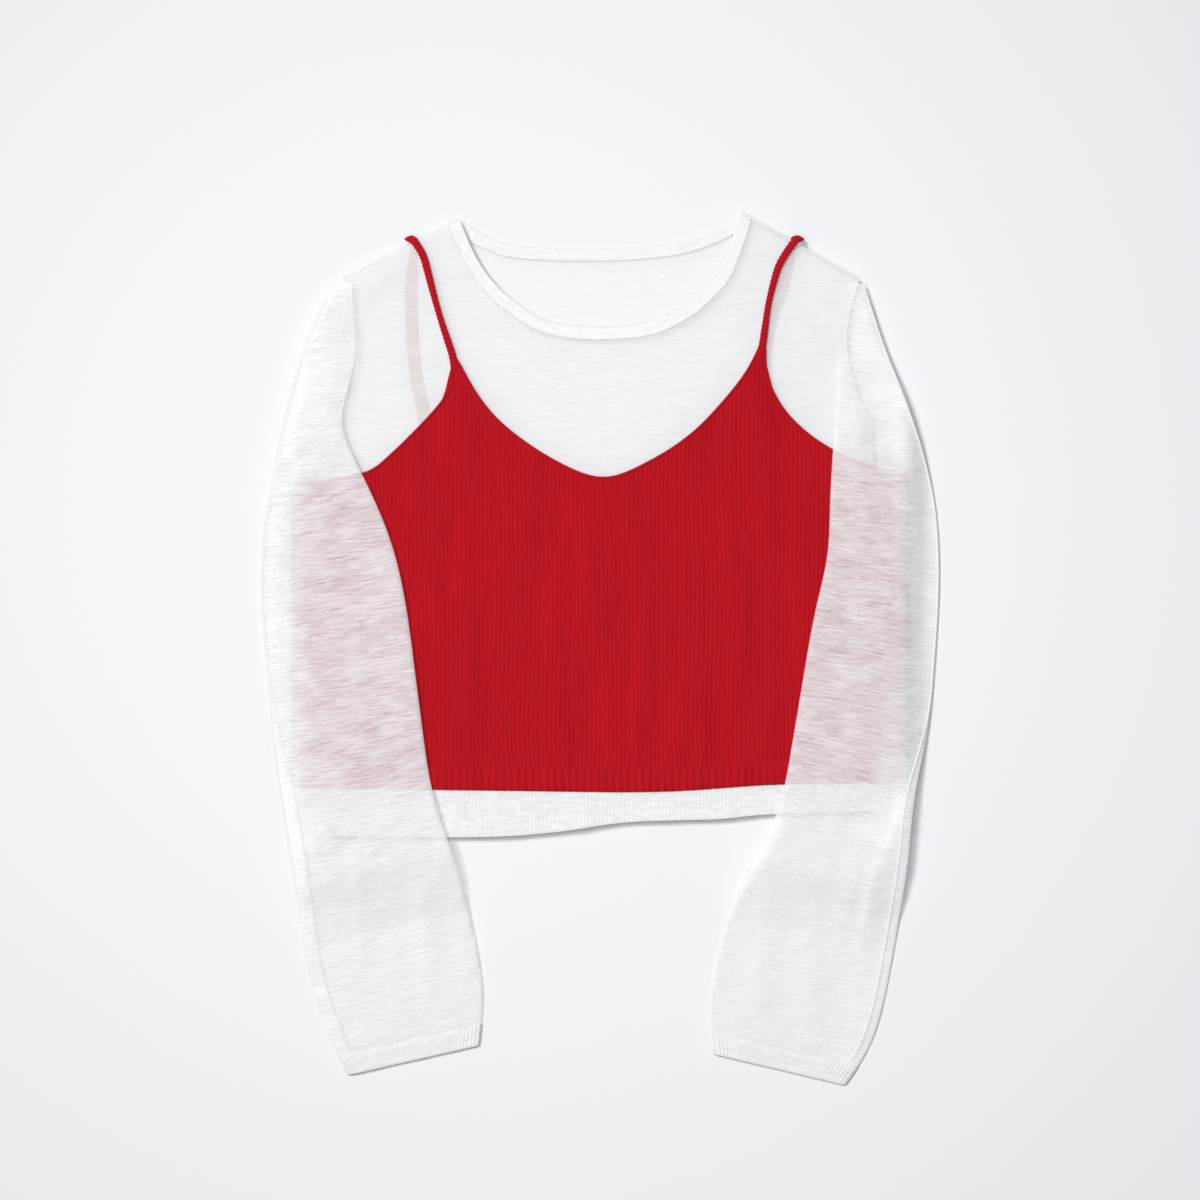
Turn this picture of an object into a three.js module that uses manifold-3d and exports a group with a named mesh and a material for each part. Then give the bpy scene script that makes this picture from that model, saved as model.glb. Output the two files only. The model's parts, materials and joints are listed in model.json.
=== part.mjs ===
// A two-piece knit cheer set lying flat, face up: a sheer long-sleeved cropped top, and a ribbed
// camisole worn over it whose straps hook over the top's shoulders. The sleeves lie down the sides.
// Millimetres. +X is the wearer's left, +Y points to the collar, +Z is up from the table.
import * as THREE from "three";
import { mergeVertices } from "three/addons/utils/BufferGeometryUtils.js";
import Module from "manifold-3d";

// ---- Driving dimensions -------------------------------------------------------------------------

// Cloth, and the room between its layers
const TOP_CLOTH = 0.8;
const CAMISOLE_CLOTH = 1.5;
const BAND_CLOTH = 1; // doubled rib and seam allowances
const TORSO_ROOM = 4.8; // free height between the top's front and back
const SLEEVE_ROOM = 4.8; // free height inside a sleeve
const SLIDE_ROOM = 1; // free height for the camisole to slide under the sleeves
const GAP = 0.3; // between pieces that touch

// The top
const SHOULDER_WIDTH = 362; // shoulder tip to shoulder tip
const NECK_WIDTH = 196; // high shoulder point to high shoulder point
const SHOULDER_FALL = 44.5; // high shoulder point down to shoulder tip
const TOP_LENGTH = 426.5; // high shoulder point down to the hem
const UNDERARM_EASE = 14; // how much wider the top is at the underarms than at the shoulders
const HEM_FLARE = 27; // and how much wider again at the hem
const ARMHOLE_DEPTH = 96; // shoulder tip down to the underarm
const ARMHOLE_HOLLOW = 12; // how far an armhole curves in from its own chord
const ARMHOLE_SEAM = 4;
const FRONT_NECK_DROP = 77.5;
const BACK_NECK_DROP = 22;
const NECK_BAND = 8;
const TOP_HEM = 44;
const TOP_ASKEW = 2.5; // the left high shoulder point lies this much high, the right one low

// The sleeves
const SLEEVE_LENGTH = 554; // shoulder tip to cuff edge
const SLEEVE_WIDTH = 100; // laid flat, at the elbow
const SLEEVE_BIAS = 0.13; // rise for each millimetre across the cuff, since the cuffs lie at a slant
const CUFF_DEPTH = 15;
const SIDE_DRAPE = 17; // width over which a sleeve comes down off the body onto the table
const END_DRAPE = 50; // length over which it comes down past the hem
const LAY_MARGIN = 4; // from the body's edge to where a sleeve starts down

// The camisole
const CAMISOLE_EASE = 8; // how much wider than the top's hem it is laid, without its side seams
const CAMISOLE_LENGTH = 306.5; // front strap foot down to the hem
const HEM_OVERLAP = 27; // the top's hem hangs this far below the camisole's
const UNDERARM_DROP = 89.5; // strap foot down to the camisole's underarm
const STRAP_SPREAD = 216; // strap foot to strap foot
const STRAP_SHIFT = 5; // the straps' middle lies this far to the wearer's left
const STRAP_WIDTH = 4.8;
const HOOK_REACH = 2.2; // how far a strap's middle goes past the shoulder seam it hooks over
const CAMISOLE_NECK_DROP = 88.8; // strap foot down to the bottom of the neckline
const CAMISOLE_BACK_DROP = 93; // front strap foot down to the back edge at its strap feet
const BACK_SCOOP = 3; // dip of the back edge between its strap feet
const CAMISOLE_HEM = 15.5;
const CAMISOLE_ASKEW = 3.5; // the left strap foot lies this much high, the right one low
const EDGE_BINDING = 3;

// ---- Heights, from the table up ---------------------------------------------------------------

const tableZ = 0;
const camisoleBackZ = tableZ;
const topBackZ = camisoleBackZ + CAMISOLE_CLOTH + GAP;
const topFrontZ = topBackZ + TOP_CLOTH + TORSO_ROOM;
const camisoleFrontZ = topFrontZ + TOP_CLOTH + GAP;
const sleeveZ = camisoleFrontZ + CAMISOLE_CLOTH + GAP + SLIDE_ROOM;
const sleeveRise = TOP_CLOTH + SLEEVE_ROOM; // from a sleeve's back cloth to its front cloth

// ---- Landmarks, from the middle of the top's hem ------------------------------------------------

const neckY = TOP_LENGTH;
const tipY = neckY - SHOULDER_FALL;
const underarmY = tipY - ARMHOLE_DEPTH;
const underarmHalf = (SHOULDER_WIDTH + UNDERARM_EASE) / 2;
const topHalf = underarmHalf + HEM_FLARE / 2;
const camisoleHalf = topHalf + CAMISOLE_EASE / 2;
const strapFootY = HEM_OVERLAP + CAMISOLE_LENGTH;
const camisoleUnderarmY = strapFootY - UNDERARM_DROP;

// The set was laid out by hand, so each side has its own curves.
// Sleeve edges: [share of the sleeve's length, share of its width out from the line tip to cuff].
// Armholes: [share of the way out, share of the way up] from the underarm to the strap foot.
// Straps: [mm out, mm up] from the front strap foot.
const SIDES = [
  {
    name: "left",
    out: 1,
    lean: 5.9, // degrees that the sleeve's line leans in towards the hem
    taken: 0, // mm of the sleeve's length taken up in folds
    outer: [
      [0, 0.02], [0.08, 0.21], [0.16, 0.44], [0.25, 0.66], [0.35, 0.76], [0.46, 0.79],
      [0.55, 0.79], [0.62, 0.735], [0.73, 0.735], [0.85, 0.7], [0.945, 0.625], [1, 0.48],
    ],
    inner: [
      [0, -0.06], [0.05, -0.09], [0.15, -0.08], [0.28, -0.055], [0.35, -0.025], [0.42, -0.08],
      [0.57, -0.135], [0.68, -0.19], [0.76, -0.365], [0.85, -0.475], [0.93, -0.52], [1, -0.455],
    ],
    armhole: [
      [0.004, 0.875], [0.012, 0.775], [0.044, 0.677], [0.132, 0.517], [0.23, 0.403], [0.36, 0.29],
      [0.5, 0.2], [0.75, 0.06],
    ],
    strap: [[2, 14], [4.6, 31], [10.8, 54], [16, 63]],
    backStrap: [[17, 50], [4, 8], [-1, -46]],
    backFoot: -4, // mm out from the front strap foot
  },
  {
    name: "right",
    out: -1,
    lean: 5.4,
    taken: 7,
    outer: [
      [0, 0.03], [0.06, 0.24], [0.15, 0.43], [0.24, 0.6], [0.31, 0.71], [0.4, 0.765],
      [0.5, 0.76], [0.6, 0.75], [0.72, 0.7], [0.86, 0.68], [0.94, 0.585], [1, 0.475],
    ],
    inner: [
      [0, -0.08], [0.06, -0.02], [0.13, 0.075], [0.17, 0.125], [0.25, -0.03], [0.33, -0.175],
      [0.41, -0.24], [0.55, -0.27], [0.67, -0.305], [0.77, -0.43], [0.93, -0.525], [1, -0.455],
    ],
    armhole: [
      [-0.015, 0.84], [0.024, 0.695], [0.104, 0.577], [0.228, 0.428], [0.42, 0.22], [0.59, 0.085],
    ],
    strap: [[9.5, 29], [17, 57], [20, 68]],
    backStrap: [[29, 57], [29, 27], [26, -13], [19, -46]],
    backFoot: 12,
  },
];

const point = (x, y) => new THREE.Vector2(x, y);
for (const side of SIDES) {
  const askew = side.out * CAMISOLE_ASKEW;
  const lean = THREE.MathUtils.degToRad(side.lean);
  side.neck = point((side.out * NECK_WIDTH) / 2, neckY + side.out * TOP_ASKEW);
  side.tip = point((side.out * SHOULDER_WIDTH) / 2, tipY);
  side.down = point(-side.out * Math.sin(lean), -Math.cos(lean));
  side.across = point(side.out * Math.cos(lean), -Math.sin(lean));
  side.foot = point(STRAP_SHIFT + (side.out * STRAP_SPREAD) / 2, strapFootY + askew);
  side.backFootAt = point(side.foot.x + side.out * side.backFoot, side.foot.y - CAMISOLE_BACK_DROP);
  side.underarm = point(side.out * camisoleHalf, camisoleUnderarmY + askew);
}
const [LEFT, RIGHT] = SIDES;

// ---- Lines ----------------------------------------------------------------------------------------

const CURVE_STEPS = 30;
const reversed = (line) => [...line].reverse();
const raised = (line, dy) => line.map((p) => point(p.x, p.y + dy));

// A smooth line through chosen points.
function smooth(points, steps = CURVE_STEPS) {
  return new THREE.SplineCurve(points).getPoints(steps);
}

// A line moved to the right of its own direction.
function offset(line, distance) {
  return line.map((p, i) => {
    const before = line[Math.max(i - 1, 0)];
    const after = line[Math.min(i + 1, line.length - 1)];
    const along = after.clone().sub(before).normalize();
    return point(p.x + along.y * distance, p.y - along.x * distance);
  });
}

// A line run on straight past both its ends.
function runOn(line, distance) {
  const past = (from, to) => to.clone().addScaledVector(to.clone().sub(from).normalize(), distance);
  return [past(line[1], line[0]), ...line, past(line.at(-2), line.at(-1))];
}

// The area between a line and itself, from one distance to its right to another.
const strip = (line, from, to) => [...offset(line, from), ...reversed(offset(line, to))];

// A smooth function through [place, value] pairs, as a cubic between each two.
function profile(pairs) {
  const slope = (i) => {
    const [a, b] = [pairs[Math.max(i - 1, 0)], pairs[Math.min(i + 1, pairs.length - 1)]];
    return (b[1] - a[1]) / (b[0] - a[0]);
  };
  return (place) => {
    const found = pairs.findIndex(([x]) => x > place);
    const i = found < 0 ? pairs.length - 2 : Math.max(found - 1, 0);
    const [[x0, y0], [x1, y1]] = [pairs[i], pairs[i + 1]];
    const [step, t] = [x1 - x0, (place - x0) / (x1 - x0)];
    return y0 * (1 + 2 * t) * (1 - t) ** 2 + slope(i) * step * t * (1 - t) ** 2
      + y1 * t * t * (3 - 2 * t) + slope(i + 1) * step * t * t * (t - 1);
  };
}

// Necklines run from the right side to the left; pairs are [share of half the width, share down].
function neckline(pairs, middle, half, y, drop) {
  return pairs.map(([across, down]) => point(middle + across * half, y - down * drop));
}

function topNeckline(pairs, drop) {
  return smooth([RIGHT.neck, ...neckline(pairs, 0, NECK_WIDTH / 2, neckY, drop), LEFT.neck]);
}

const topFrontNeck = topNeckline([
  [-0.89, 0.355], [-0.755, 0.6], [-0.59, 0.785], [-0.38, 0.945], [-0.02, 1],
  [0.34, 0.96], [0.57, 0.83], [0.73, 0.67], [0.87, 0.45],
], FRONT_NECK_DROP);
const topBackNeck = topNeckline([
  [-0.83, 0.55], [-0.63, 0.88], [-0.2, 1], [0.25, 0.95], [0.6, 0.74], [0.85, 0.33],
], BACK_NECK_DROP);

// The hems run from the right side to the left and aren't quite straight; pairs are
// [share of half the width, mm up].
function hemLine(pairs, half, y) {
  return smooth(pairs.map(([across, up]) => point(across * half, y + up)));
}

const topHemLine = hemLine(
  [[-1, -5], [-0.5, -6.6], [-0.2, -4], [0.1, 4], [0.4, 6], [0.6, 9.6], [1, 12]], topHalf, 0);
const camisoleHemLine = hemLine(
  [[-1, 1.5], [-0.3, -0.7], [0.2, -1.3], [0.58, 3.5], [1, 5]], camisoleHalf, HEM_OVERLAP);

// A side's armhole on the top, from the shoulder tip down to the underarm.
function topArmhole(side) {
  const at = (share) => point(
    side.out * (THREE.MathUtils.lerp(side.tip.x * side.out, underarmHalf, share)
      - ARMHOLE_HOLLOW * 4 * share * (1 - share)),
    tipY - share * ARMHOLE_DEPTH);
  return smooth([0, 0.35, 0.7, 1].map(at), 12);
}

// A side's armhole on the camisole's front, from the strap foot down to the underarm.
function camisoleArmhole(side) {
  const top = point(side.foot.x + (side.out * STRAP_WIDTH) / 2, side.foot.y);
  const at = ([across, up]) => point(
    THREE.MathUtils.lerp(top.x, side.underarm.x, across),
    THREE.MathUtils.lerp(side.underarm.y, top.y, up));
  return smooth([top, ...side.armhole.map(at), side.underarm]);
}

// The camisole's front neckline, from the right strap foot to the left one.
function camisoleNeckline() {
  const edge = (side) => point(side.foot.x - (side.out * STRAP_WIDTH) / 2, side.foot.y);
  const half = STRAP_SPREAD / 2;
  const between = neckline([
    [-0.825, 0.37], [-0.635, 0.62], [-0.32, 0.875], [-0.02, 1],
    [0.28, 0.86], [0.555, 0.636], [0.79, 0.332], [0.91, 0.13],
  ], STRAP_SHIFT, half, strapFootY, CAMISOLE_NECK_DROP);
  return smooth([edge(RIGHT), ...between, edge(LEFT)]);
}

// The camisole's back edge, from the right underarm over both strap feet to the left underarm.
function camisoleBackEdge() {
  const middle = point(STRAP_SHIFT, (LEFT.backFootAt.y + RIGHT.backFootAt.y) / 2 - BACK_SCOOP);
  return smooth([RIGHT.underarm, RIGHT.backFootAt, middle, LEFT.backFootAt, LEFT.underarm]);
}

// ---- Solids -----------------------------------------------------------------------------------------

const wasm = await Module();
wasm.setup();

// A flat piece of cloth: an outline from height z up through a thickness.
function flat(outline, z, thickness) {
  const shape = new THREE.Shape(outline);
  const body = new THREE.ExtrudeGeometry(shape, { depth: thickness, bevelEnabled: false });
  return body.translate(0, 0, z);
}

// A tool for cutting: an outline well past all the cloth, below and above.
const CUT_DEPTH = 60;
const cutter = (outline) => flat(outline, -CUT_DEPTH / 2, CUT_DEPTH);

function toSolid(geometry) {
  const bare = new THREE.BufferGeometry();
  bare.setAttribute("position", geometry.getAttribute("position"));
  bare.setIndex(geometry.index);
  const merged = mergeVertices(bare);
  return new wasm.Manifold(new wasm.Mesh({
    numProp: 3,
    vertProperties: merged.getAttribute("position").array,
    triVerts: new Uint32Array(merged.index.array),
  }));
}

// The largest single body of a solid, back as geometry.
function toGeometry(solid) {
  const [body] = solid.decompose().sort((a, b) => b.volume() - a.volume());
  const mesh = body.getMesh();
  const geometry = new THREE.BufferGeometry();
  geometry.setAttribute("position", new THREE.Float32BufferAttribute(mesh.vertProperties, 3));
  geometry.setIndex(new THREE.Uint32BufferAttribute(mesh.triVerts, 1));
  geometry.computeVertexNormals();
  return geometry;
}

function cut(geometry, ...tools) {
  return toGeometry(tools.reduce((body, tool) => body.subtract(toSolid(tool)), toSolid(geometry)));
}

function common(geometry, tool) {
  return toGeometry(toSolid(geometry).intersect(toSolid(tool)));
}

// A closed body from its vertices and triangles, turned to face out.
function closedBody(vertices, triangles) {
  const volume = triangles.reduce((sum, [a, b, c]) =>
    sum + vertices[a].dot(new THREE.Vector3().crossVectors(vertices[b], vertices[c])), 0);
  const facing = volume < 0 ? triangles.map(([a, b, c]) => [a, c, b]) : triangles;
  const geometry = new THREE.BufferGeometry().setFromPoints(vertices);
  geometry.setIndex(facing.flat());
  geometry.computeVertexNormals();
  return geometry;
}

// A body through a row of alike rings. The outline is a ring laid flat, to close the ends by.
function loft(rings, outline) {
  const count = outline.length;
  const last = (rings.length - 1) * count;
  const triangles = [];
  for (let start = 0; start < last; start += count) {
    for (let i = 0; i < count; i += 1) {
      const [a, b] = [start + i, start + ((i + 1) % count)];
      triangles.push([a, b, b + count], [a, b + count, a + count]);
    }
  }
  const way = Math.sign(THREE.ShapeUtils.area(outline));
  for (const [a, b, c] of THREE.ShapeUtils.triangulateShape(outline, [])) {
    const turn = Math.sign(THREE.ShapeUtils.area([outline[a], outline[b], outline[c]]));
    const [p, q] = turn === way ? [b, c] : [c, b];
    triangles.push([a, q, p], [last + a, last + p, last + q]);
  }
  return closedBody(rings.flat(), triangles);
}

// ---- Nodes ------------------------------------------------------------------------------------------

const knit = (color, roughness) => () =>
  new THREE.MeshStandardMaterial({ color, roughness, metalness: 0 });
const sheerWhite = knit(0xf1f2f4, 0.85);
const ribWhite = knit(0xeeeef0, 0.9);
const ribRed = knit(0xb41822, 0.9);
const edgeRed = knit(0xa8161f, 0.85);

const uniform = new THREE.Group();

function add(name, geometry, material) {
  const mesh = new THREE.Mesh(geometry, material());
  mesh.name = name;
  uniform.add(mesh);
}

// ---- The top's torso ----------------------------------------------------------------------------------

const PAST = NECK_BAND; // how far a cutting line runs past the cloth
const topLayers = [
  { name: "front", z: topFrontZ, bandZ: topFrontZ + TOP_CLOTH - BAND_CLOTH, neck: topFrontNeck },
  { name: "back", z: topBackZ, bandZ: topBackZ, neck: topBackNeck },
];
const topDepth = topFrontZ + TOP_CLOTH - topBackZ;

function topOutline(neck) {
  return [
    ...topHemLine, ...reversed(topArmhole(LEFT)), ...reversed(neck), ...topArmhole(RIGHT),
  ];
}

// The areas of the top's edgings, from outside the cloth in to a width.
const neckArea = (neck, width) => cutter(strip(runOn(neck, PAST), -PAST, width));
const armholeArea = (side, width) =>
  cutter(strip(runOn(topArmhole(side), PAST), -side.out * PAST, side.out * width));
function hemArea(line, width) {
  const hem = runOn(line, PAST);
  return cutter([...raised(hem, -PAST), ...reversed(raised(hem, width))]);
}

function addTopLayers() {
  for (const { name, z, bandZ, neck } of topLayers) {
    const outline = topOutline(neck);
    const band = flat(outline, bandZ, BAND_CLOTH);
    add(`top_${name}_panel`, cut(flat(outline, z, TOP_CLOTH),
      neckArea(neck, NECK_BAND + GAP), hemArea(topHemLine, TOP_HEM + GAP),
      ...SIDES.map((side) => armholeArea(side, ARMHOLE_SEAM + GAP))), sheerWhite);
    add(`top_${name}_neck_band`, common(band, neckArea(neck, NECK_BAND)), ribWhite);
    add(`top_${name}_hem_rib`, common(band, hemArea(topHemLine, TOP_HEM)), ribWhite);
  }
}

// A seam that stands on an edge of the body and closes front cloth to back cloth.
function edgeSeam(line, outward, z, depth) {
  return flat(strip(line, outward * GAP, outward * (GAP + BAND_CLOTH)), z, depth);
}

function addTopSeams() {
  for (const side of SIDES) {
    const { out, name, neck, tip } = side;
    const hemEnd = out > 0 ? topHemLine.at(-1) : topHemLine[0];
    const underarm = topArmhole(side).at(-1);
    add(`top_${name}_shoulder_seam`, edgeSeam([neck, tip], -out, topBackZ, topDepth), sheerWhite);
    add(`top_${name}_side_seam`, edgeSeam([underarm, hemEnd], -out, topBackZ, topDepth), sheerWhite);
  }
}

// The seam round an armhole joins the front's edge to the back's at the shoulder and underarm,
// and is open between them for the arm.
function addArmholeSeams() {
  for (const side of SIDES) {
    const wall = flat(topOutline(topBackNeck), topBackZ, topDepth);
    const line = topArmhole(side);
    const opening = smooth(line.slice(1, -1), 12);
    const hole = flat(strip(opening, -side.out * PAST, side.out * PAST),
      topBackZ + TOP_CLOTH, TORSO_ROOM);
    const ring = common(wall, armholeArea(side, ARMHOLE_SEAM));
    add(`top_${side.name}_armhole_seam`, cut(ring, hole), sheerWhite);
  }
}

// ---- Sleeves -------------------------------------------------------------------------------------------

const SLEEVE_STATIONS = 26;
const CUFF_STATIONS = 2;
const COLUMNS_ON_BODY = 4; // across a sleeve, where it lies on the body
const COLUMNS_IN_DRAPE = 3; // and where it comes down beside it
const DRAPE_SHARE = 0.15; // least part of a sleeve's width that either stretch takes

// A side's sleeve as a flat layout: places along and across it, and how high its back cloth lies.
function sleeveLayout(side) {
  const [outer, inner] = [side.outer, side.inner].map(profile);
  const length = SLEEVE_LENGTH - side.taken;
  const at = (share, across) => side.tip.clone()
    .addScaledVector(side.down, share * (length + SLEEVE_BIAS * across))
    .addScaledVector(side.across, across);
  const edges = (share) => [outer(share) * SLEEVE_WIDTH, inner(share) * SLEEVE_WIDTH];

  const shelfX = camisoleHalf + GAP + CAMISOLE_CLOTH + LAY_MARGIN;
  const innerAtHem = at(tipY / length, edges(tipY / length)[1]);
  const stationStep = length / SLEEVE_STATIONS;
  const shelfReach = side.tip.distanceTo(innerAtHem) + LAY_MARGIN + stationStep;

  // The sleeve lies on the body, and comes down to the table past its side and past its hem.
  const height = (p) => {
    const drop = Math.max(
      (side.out * p.x - shelfX) / SIDE_DRAPE, (p.distanceTo(side.tip) - shelfReach) / END_DRAPE);
    return THREE.MathUtils.lerp(sleeveZ, tableZ, THREE.MathUtils.smoothstep(drop, 0, 1));
  };

  // Offsets across one station: even on the body, then even down the drape.
  const columns = (share) => {
    const [far, near] = edges(share);
    const shelf = (shelfX - side.out * at(share, 0).x) / (side.out * side.across.x);
    const width = far - near;
    const split = THREE.MathUtils.clamp(shelf, near + DRAPE_SHARE * width, far - DRAPE_SHARE * width);
    const onBody = Array.from({ length: COLUMNS_ON_BODY }, (_, i) =>
      THREE.MathUtils.lerp(near, split, i / COLUMNS_ON_BODY));
    const inDrape = Array.from({ length: COLUMNS_IN_DRAPE + 1 }, (_, i) =>
      THREE.MathUtils.lerp(split, far, i / COLUMNS_IN_DRAPE));
    return [...onBody, ...inDrape];
  };
  return { at, height, columns };
}

// One length of sleeve: its section at each station, as [mm across, mm up] on the layout.
function sleevePiece({ at, columns, height }, from, to, stations, section) {
  const rings = [];
  let outline;
  for (let i = 0; i <= stations; i += 1) {
    const share = THREE.MathUtils.lerp(from, to, i / stations);
    const ring = section(columns(share), (across) => height(at(share, across)));
    outline ??= ring.map(([across, z]) => point(across, z));
    rings.push(ring.map(([across, z]) => new THREE.Vector3(...at(share, across), z)));
  }
  return loft(rings, outline);
}

// The back cloth lies flat under the sleeve.
const backSection = (cloth) => (offsets, height) => [
  ...offsets.map((across) => [across, height(across)]),
  ...reversed(offsets).map((across) => [across, height(across) + cloth]),
];

// The front cloth lies over it and turns down to it at the fold, or at both edges of a cuff.
const frontSection = (cloth, foldBoth) => (offsets, height) => {
  const [near, far] = [offsets[0], offsets.at(-1)];
  const foot = (across) => height(across) + cloth + GAP;
  const top = (across) => height(across) + sleeveRise + TOP_CLOTH;
  const inside = offsets.slice(1, -1);
  const under = (across) => [across, top(across) - cloth];
  const nearFold = [[near + cloth, foot(near)], [near, foot(near)]];
  const farFold = [[far, foot(far)], [far - cloth, foot(far)]];
  return [
    ...nearFold, ...offsets.map((across) => [across, top(across)]), ...(foldBoth ? farFold : []),
    [foldBoth ? far - cloth : far, top(far) - cloth],
    ...reversed(inside).map(under), [near + cloth, top(near) - cloth],
  ];
};

// The sleeve's seam closes its outer edge.
const seamSection = (offsets, height) => {
  const far = offsets.at(-1);
  const [low, high] = [height(far), height(far) + sleeveRise + TOP_CLOTH];
  const [near, out] = [far + GAP, far + GAP + TOP_CLOTH];
  return [[near, low], [out, low], [out, high], [near, high]];
};

function addSleeve(side) {
  const layout = sleeveLayout(side);
  const cuffStart = 1 - CUFF_DEPTH / SLEEVE_LENGTH;
  const sleeveEnd = cuffStart - GAP / SLEEVE_LENGTH;
  const piece = (name, from, to, stations, section, material) =>
    add(`${side.name}_${name}`, sleevePiece(layout, from, to, stations, section), material);
  piece("sleeve_back", 0, sleeveEnd, SLEEVE_STATIONS, backSection(TOP_CLOTH), sheerWhite);
  piece("sleeve_front", 0, sleeveEnd, SLEEVE_STATIONS, frontSection(TOP_CLOTH, false), sheerWhite);
  piece("sleeve_seam", 0, sleeveEnd, SLEEVE_STATIONS, seamSection, sheerWhite);
  piece("cuff_back", cuffStart, 1, CUFF_STATIONS, backSection(BAND_CLOTH), ribWhite);
  piece("cuff_front", cuffStart, 1, CUFF_STATIONS, frontSection(BAND_CLOTH, true), ribWhite);
}

// ---- The camisole ----------------------------------------------------------------------------------------

function addCamisoleLayers() {
  const neck = camisoleNeckline();
  const back = camisoleBackEdge();
  const frontOutline = [
    ...camisoleHemLine, ...reversed(camisoleArmhole(LEFT)), ...reversed(neck),
    ...camisoleArmhole(RIGHT),
  ];
  const backOutline = [...camisoleHemLine, ...reversed(back)];
  const edging = (line, outward, width) =>
    cutter(strip(runOn(line, PAST), -outward * PAST, outward * width));
  const armholeEdging = (side, width) => edging(camisoleArmhole(side), side.out, width);
  const inset = EDGE_BINDING + GAP;

  const front = flat(frontOutline, camisoleFrontZ, CAMISOLE_CLOTH);
  add("camisole_front_panel", cut(front, edging(neck, 1, inset),
    hemArea(camisoleHemLine, CAMISOLE_HEM + GAP),
    ...SIDES.map((side) => armholeEdging(side, inset))), ribRed);
  add("camisole_neck_binding",
    cut(common(front, edging(neck, 1, EDGE_BINDING)), hemArea(camisoleHemLine, CAMISOLE_HEM)), edgeRed);
  for (const side of SIDES) {
    add(`camisole_${side.name}_armhole_binding`,
      cut(common(front, armholeEdging(side, EDGE_BINDING)), edging(neck, 1, inset)), edgeRed);
  }
  const rear = flat(backOutline, camisoleBackZ, CAMISOLE_CLOTH);
  add("camisole_back_panel",
    cut(rear, edging(back, 1, inset), hemArea(camisoleHemLine, CAMISOLE_HEM + GAP)), ribRed);
  add("camisole_back_binding", common(rear, edging(back, 1, EDGE_BINDING)), edgeRed);
  for (const [name, cloth] of [["front", front], ["back", rear]]) {
    add(`camisole_${name}_hem_rib`, common(cloth, hemArea(camisoleHemLine, CAMISOLE_HEM)), ribRed);
  }
}

function addCamisoleSeams() {
  const depth = camisoleFrontZ + CAMISOLE_CLOTH - camisoleBackZ;
  for (const side of SIDES) {
    const hemEnd = side.out > 0 ? camisoleHemLine.at(-1) : camisoleHemLine[0];
    add(`camisole_${side.name}_side_seam`,
      edgeSeam([side.underarm, hemEnd], -side.out, camisoleBackZ, depth), ribRed);
  }
}

const STRAP_STEPS = 16;
const HOOK_STEPS = 8;

// A strap's middle line with the way its outer face looks: up the front, round the shoulder in
// half an ellipse, and down the back under the top.
function strapRoute(side) {
  const frontZ = camisoleFrontZ + CAMISOLE_CLOTH / 2;
  const backZ = camisoleBackZ + CAMISOLE_CLOTH / 2;
  const from = ([out, up]) => point(side.foot.x + side.out * out, side.foot.y + up);
  const shoulder = side.tip.clone().sub(side.neck).normalize();
  const outward = point(-side.out * shoulder.y, side.out * shoulder.x);
  const lastFront = from(side.strap.at(-1));
  const toEdge = GAP + BAND_CLOTH - lastFront.clone().sub(side.neck).dot(outward);
  const edge = lastFront.clone().addScaledVector(outward, toEdge);

  const front = smooth([side.foot, ...side.strap.map(from), edge], STRAP_STEPS);
  const back = smooth([edge, ...side.backStrap.map(from), side.backFootAt], STRAP_STEPS);
  const lift = (line, z, up) => line.map((p) =>
    ({ at: new THREE.Vector3(p.x, p.y, z), face: new THREE.Vector3(0, 0, up) }));
  const hook = Array.from({ length: HOOK_STEPS - 1 }, (_, i) => {
    const turn = ((i + 1) / HOOK_STEPS) * Math.PI;
    const halfDrop = (frontZ - backZ) / 2;
    const [out, z] = [HOOK_REACH * Math.sin(turn), backZ + halfDrop * (1 + Math.cos(turn))];
    const [faceOut, faceUp] = [halfDrop * Math.sin(turn), HOOK_REACH * Math.cos(turn)];
    return {
      at: new THREE.Vector3(edge.x + outward.x * out, edge.y + outward.y * out, z),
      face: new THREE.Vector3(outward.x * faceOut, outward.y * faceOut, faceUp).normalize(),
    };
  });
  return [...lift(front, frontZ, 1), ...hook, ...lift(back, backZ, -1)];
}

function addStrap(side) {
  const route = strapRoute(side);
  const corners = [[-1, -1], [1, -1], [1, 1], [-1, 1]].map(([u, v]) =>
    point((u * STRAP_WIDTH) / 2, (v * CAMISOLE_CLOTH) / 2));
  const rings = route.map(({ at, face }, i) => {
    const along = route[Math.min(i + 1, route.length - 1)].at.clone()
      .sub(route[Math.max(i - 1, 0)].at);
    const wide = new THREE.Vector3().crossVectors(face, along).normalize();
    return corners.map((c) => at.clone().addScaledVector(wide, c.x).addScaledVector(face, c.y));
  });
  // Its ends are cut to the cloth that they are sewn to.
  const [{ x, y }, reach] = [side.foot, 5 * STRAP_WIDTH];
  const belowFoot = [
    point(x - reach, y - reach), point(x + reach, y - reach),
    point(x + reach, y + GAP), point(x - reach, y + GAP),
  ];
  const backCloth = [...camisoleHemLine, ...reversed(raised(camisoleBackEdge(), GAP))];
  add(`camisole_${side.name}_strap`, cut(loft(rings, corners),
    flat(belowFoot, camisoleFrontZ - GAP, CUT_DEPTH),
    flat(backCloth, topBackZ - CUT_DEPTH, CUT_DEPTH)), edgeRed);
}

// ---- The set ---------------------------------------------------------------------------------------------

addTopLayers();
addTopSeams();
addArmholeSeams();
SIDES.forEach(addSleeve);
addCamisoleLayers();
addCamisoleSeams();
SIDES.forEach(addStrap);

// The origin is on the table, under the middle of the whole set.
const bounds = new THREE.Box3().setFromObject(uniform);
const middle = bounds.getCenter(new THREE.Vector3());
uniform.position.set(-middle.x, -middle.y, -bounds.min.z);

export default uniform;
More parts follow.
